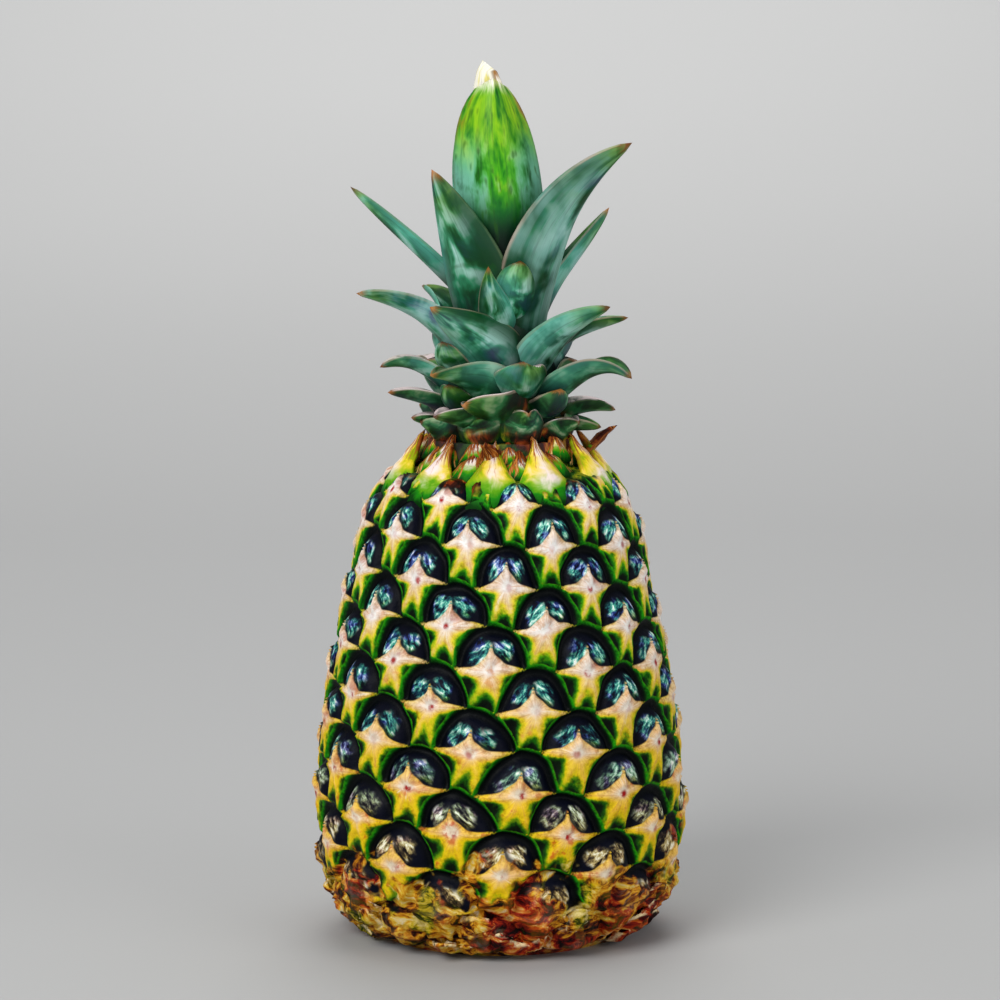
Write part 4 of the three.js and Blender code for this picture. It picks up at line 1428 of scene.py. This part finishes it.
def leaf_material():
    material, sums, shader = new_material("leaf_blade")
    place = sums.node("ShaderNodeTexCoord").outputs["Object"]
    across = sums.attribute("leaf_across")
    from_middle = sums.math("ABSOLUTE", across)
    along = sums.attribute("leaf_along")
    # Rounded, because a random value from it would jump at the smallest error between the points
    number = sums.math("ROUND", sums.attribute("leaf_number"))
    youth = sums.attribute("leaf_youth")
    pale = sums.attribute("leaf_pale")
    lowness = sums.attribute("leaf_lowness")
    vein_place = sums.place(sums.times(across, 22.0), sums.times(along, 2.2), number)
    veins = sums.noise(vein_place, 1.0, detail=4.0, roughness=0.6)
    patch_place = sums.place(sums.times(across, 2.6), sums.times(along, 3.4), number)
    patch = sums.noise(patch_place, 1.0, detail=3.0, roughness=0.48, distortion=0.3)
    bloom = sums.noise(place, 62.0, detail=4.0, roughness=0.5, distortion=0.4)
    body = grown_paint(sums, across, along, number, pale, vein_place, patch, bloom)
    dark = sums.ramp(
        patch,
        (0.38, 1, 12, 4),
        (0.48, 6, 54, 16),
        (0.57, 38, 110, 56),
        (0.68, 150, 170, 130),
    )
    body = sums.cover(body, dark, lowness, 0.88)
    green = sums.mix(sums.between(patch, 0.4, 0.6), linear(26, 92, 20), linear(112, 160, 62))
    to_tip = sums.between(along, 0.6, 0.95)
    body = sums.cover(body, green, to_tip, sums.between(bloom, 0.4, 0.6, 0.8, 0.15))
    young = young_paint(sums, across, from_middle, along, number, youth)
    body = sums.mix(sums.between(youth, 0.2, 0.7), body, young)
    # Bruises, veins, and a thin pale margin
    bruise = sums.between(bloom, 0.36, 0.3)
    body = sums.cover(body, linear(14, 84, 8), bruise, sums.between(along, 0.2, 0.5), 0.5)
    body = sums.mix(sums.between(veins, 0.5, 0.66, 0.0, 0.34), body, linear(6, 58, 26))
    margin_paint = sums.mix(sums.chance(number, 0.9), linear(70, 110, 60), linear(206, 176, 160))
    margin = sums.between(from_middle, 0.47, 0.5)
    body = sums.cover(body, margin_paint, margin, sums.between(veins, 0.35, 0.6, 0.0, 0.55))
    # The inner faces of most low leaves are a pinkish white
    body = sums.cover(
        body,
        linear(232, 212, 212),
        sums.attribute("leaf_inner"),
        sums.between(along, 0.35, 0.6),
        sums.between(sums.chance(number, 0.15), 0.15, 0.25),
        sums.between(lowness, 0.0, 0.4),
        sums.between(patch, 0.36, 0.5),
    )
    # Painted shade between the feet of the leaves, with the neck's skin on the lowest, and dry at the tips
    foot = sums.minus(along, sums.between(lowness, 0.5, 1.0, 0.0, 0.12))
    foot = sums.between(foot, 0.42, 0.08, 0.0, sums.between(pale, 0.0, 1.0, 0.92, 0.5))
    shaded_foot_paint = sums.mix(sums.between(lowness, 0.7, 1.0), linear(2, 26, 16), shaded_neck_paint(sums, place))
    body = sums.mix(foot, body, shaded_foot_paint)
    tip_paint = sums.mix(sums.chance(number, 0.3), linear(92, 42, 16), linear(176, 110, 52))
    tip = sums.between(sums.drift(along, veins, 0.16), 0.92, 1.0)
    body = sums.cover(body, tip_paint, tip, sums.between(youth, 0.5, 0.0))
    sums.put(shader.inputs["Base Color"], body)
    shader.inputs["Roughness"].default_value = 0.46
    shader.inputs["Specular IOR Level"].default_value = 0.22
    sums.put(shader.inputs["Normal"], bumped(sums, veins, 0.25, 0.4 * MM))
    return material


# %% The crown, as one mesh
def crown_blades():
    """Each blade: the leaf, where its root starts, and how young it is."""
    for leaf in FRONT_LEAVES:
        yield leaf, LEAF_ROOT, 0.0
    for leaf, youth in zip(HEART_LEAVES, HEART_YOUTH):
        yield leaf, LEAF_ROOT, youth
    for leaf in back_leaves():
        yield leaf, LEAF_ROOT, 0.0
    for leaf in collar_bracts():
        yield leaf, COLLAR_ROOT, 0.0
    for leaf in SIDE_LEAVES:
        yield leaf, LEAF_ROOT, 0.0


def crown_piece():
    points, faces, start = [], [], 0
    columns = {name: [] for name in ("across", "along", "inner", "number", "youth", "lowness", "pale")}
    for number, (leaf, root, youth) in enumerate(crown_blades()):
        leaf_points, leaf_faces, across, along, inner = leaf_shape(leaf, root)
        points.append(leaf_points)
        faces += [[start + corner for corner in face] for face in leaf_faces]
        start += len(leaf_points)
        lowness = smoothstep(leaf[1], *LOW_LEAVES) if youth == 0 else 0.0
        values = (across, along, inner, number, youth, lowness, number in PALE_LEAVES)
        for column, value in zip(columns.values(), values):
            column.append(np.broadcast_to(np.asarray(value, float), len(leaf_points)))
    stem_points, stem_faces = turned([(0, CROWN_BASE), *STEM_OUTLINE, (0, STEM_TOP)], STEM_SIDES)
    points.append(stem_points)
    faces += [[start + corner for corner in face] for face in stem_faces]
    piece = new_piece("crown_leaves", np.vstack(points), faces, leaf_material())
    for name, column in columns.items():
        column.append(np.full(len(stem_points), STEM_VALUE))
        set_attribute(piece.data, f"leaf_{name}", "FLOAT", "POINT", np.concatenate(column))
    print("crown:", number + 1, "leaves,", len(faces), "faces")
    return piece


crown = crown_piece()
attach(crown, "root")
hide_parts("crown")

# %% [markdown]
# ## The studio
# A pale floor runs up into a pale wall. One large soft lamp stands in front to the left, a weaker
# one fills from the right, a third lights the leaves from above and a fourth the wall behind. The
# camera looks slightly down, from far away.


# %% The floor and the wall behind, in one sweep
def plain_material(name, colour, roughness):
    material, sums, shader = new_material(name)
    tone = sums.noise(sums.node("ShaderNodeTexCoord").outputs["Object"], 1.5, detail=1.0)
    dim = tuple(channel * 0.97 for channel in colour[:3]) + (1.0,)
    sums.put(shader.inputs["Base Color"], sums.mix(tone, dim, colour))
    shader.inputs["Roughness"].default_value = roughness
    return material


SWEEP = [(-3.0, 0.0), (0.6, 0.0), (1.8, 0.0), (3.6, 0.35), (5.0, 1.2), (5.8, 2.6), (6.0, 5.0)]
sweep_line = smooth_line(SWEEP, steps=12)
SWEEP_HALF_WIDTH = 6.0
sides = (-SWEEP_HALF_WIDTH / MM, SWEEP_HALF_WIDTH / MM)
sweep_points = [(side, y, z) for y, z in sweep_line / MM for side in sides]
sweep_faces = [(2 * k, 2 * k + 1, 2 * k + 3, 2 * k + 2) for k in range(len(sweep_line) - 1)]
paper = plain_material("studio_paper", linear(170, 170, 169), 0.85)
floor = new_piece("studio_sweep", sweep_points, sweep_faces, paper)


# %% The lamps and the world
# Name, place, width of the disk, power in watts, and the spot that it points at
LAMPS = [
    ("key_lamp", (-0.9, -1.3, 1.3), 1.2, 28.5, (0, 0, 0.15)),
    ("fill_lamp", (1.4, -1.1, 0.7), 1.4, 8.5, (0, 0, 0.15)),
    ("top_lamp", (0.1, 0.3, 1.7), 1.2, 9, (0, 0, 0.15)),
    ("wall_lamp", (0, 3.0, 2.6), 2.5, 84, (0, 3.9, 0.1)),
]


def turn_to(direction):
    """The turn of a lamp or a camera that looks this way, with its own up as far up as it goes."""
    return Vector(direction).to_track_quat("-Z", "Y").to_euler()


for name, place, size, power, aim in LAMPS:
    lamp_data = bpy.data.lights.new(name, "AREA")
    lamp_data.shape = "DISK"
    lamp_data.size = size
    lamp_data.energy = power
    lamp = bpy.data.objects.new(name, lamp_data)
    lamp.location = place
    lamp.rotation_euler = turn_to(np.array(aim) - np.array(place))
    bpy.context.collection.objects.link(lamp)
world = bpy.data.worlds.new("studio")
world.use_nodes = True
sky = world.node_tree.nodes["Background"].inputs
sky["Color"].default_value = linear(232, 234, 238)
sky["Strength"].default_value = 0.42
bpy.context.scene.world = world
bpy.context.scene.view_settings.view_transform = "Standard"

# %% The camera
CAMERA_DISTANCE = 1.3
CAMERA_RISE = 7.2
CAMERA_TARGET = (0.0, 0.0, 0.1536)
FRAME_WIDTH = 0.3524
SENSOR = 36

camera_data = bpy.data.cameras.new("camera")
camera_data.sensor_width = SENSOR
camera_data.lens = SENSOR * CAMERA_DISTANCE / FRAME_WIDTH
camera_data.clip_start = 0.05
camera_data.clip_end = 20
camera = bpy.data.objects.new("camera", camera_data)
rise = math.radians(CAMERA_RISE)
back = np.array([0, -math.cos(rise), math.sin(rise)])
camera.location = np.array(CAMERA_TARGET) + back * CAMERA_DISTANCE
camera.rotation_euler = turn_to(-back)
bpy.context.collection.objects.link(camera)
bpy.context.scene.camera = camera
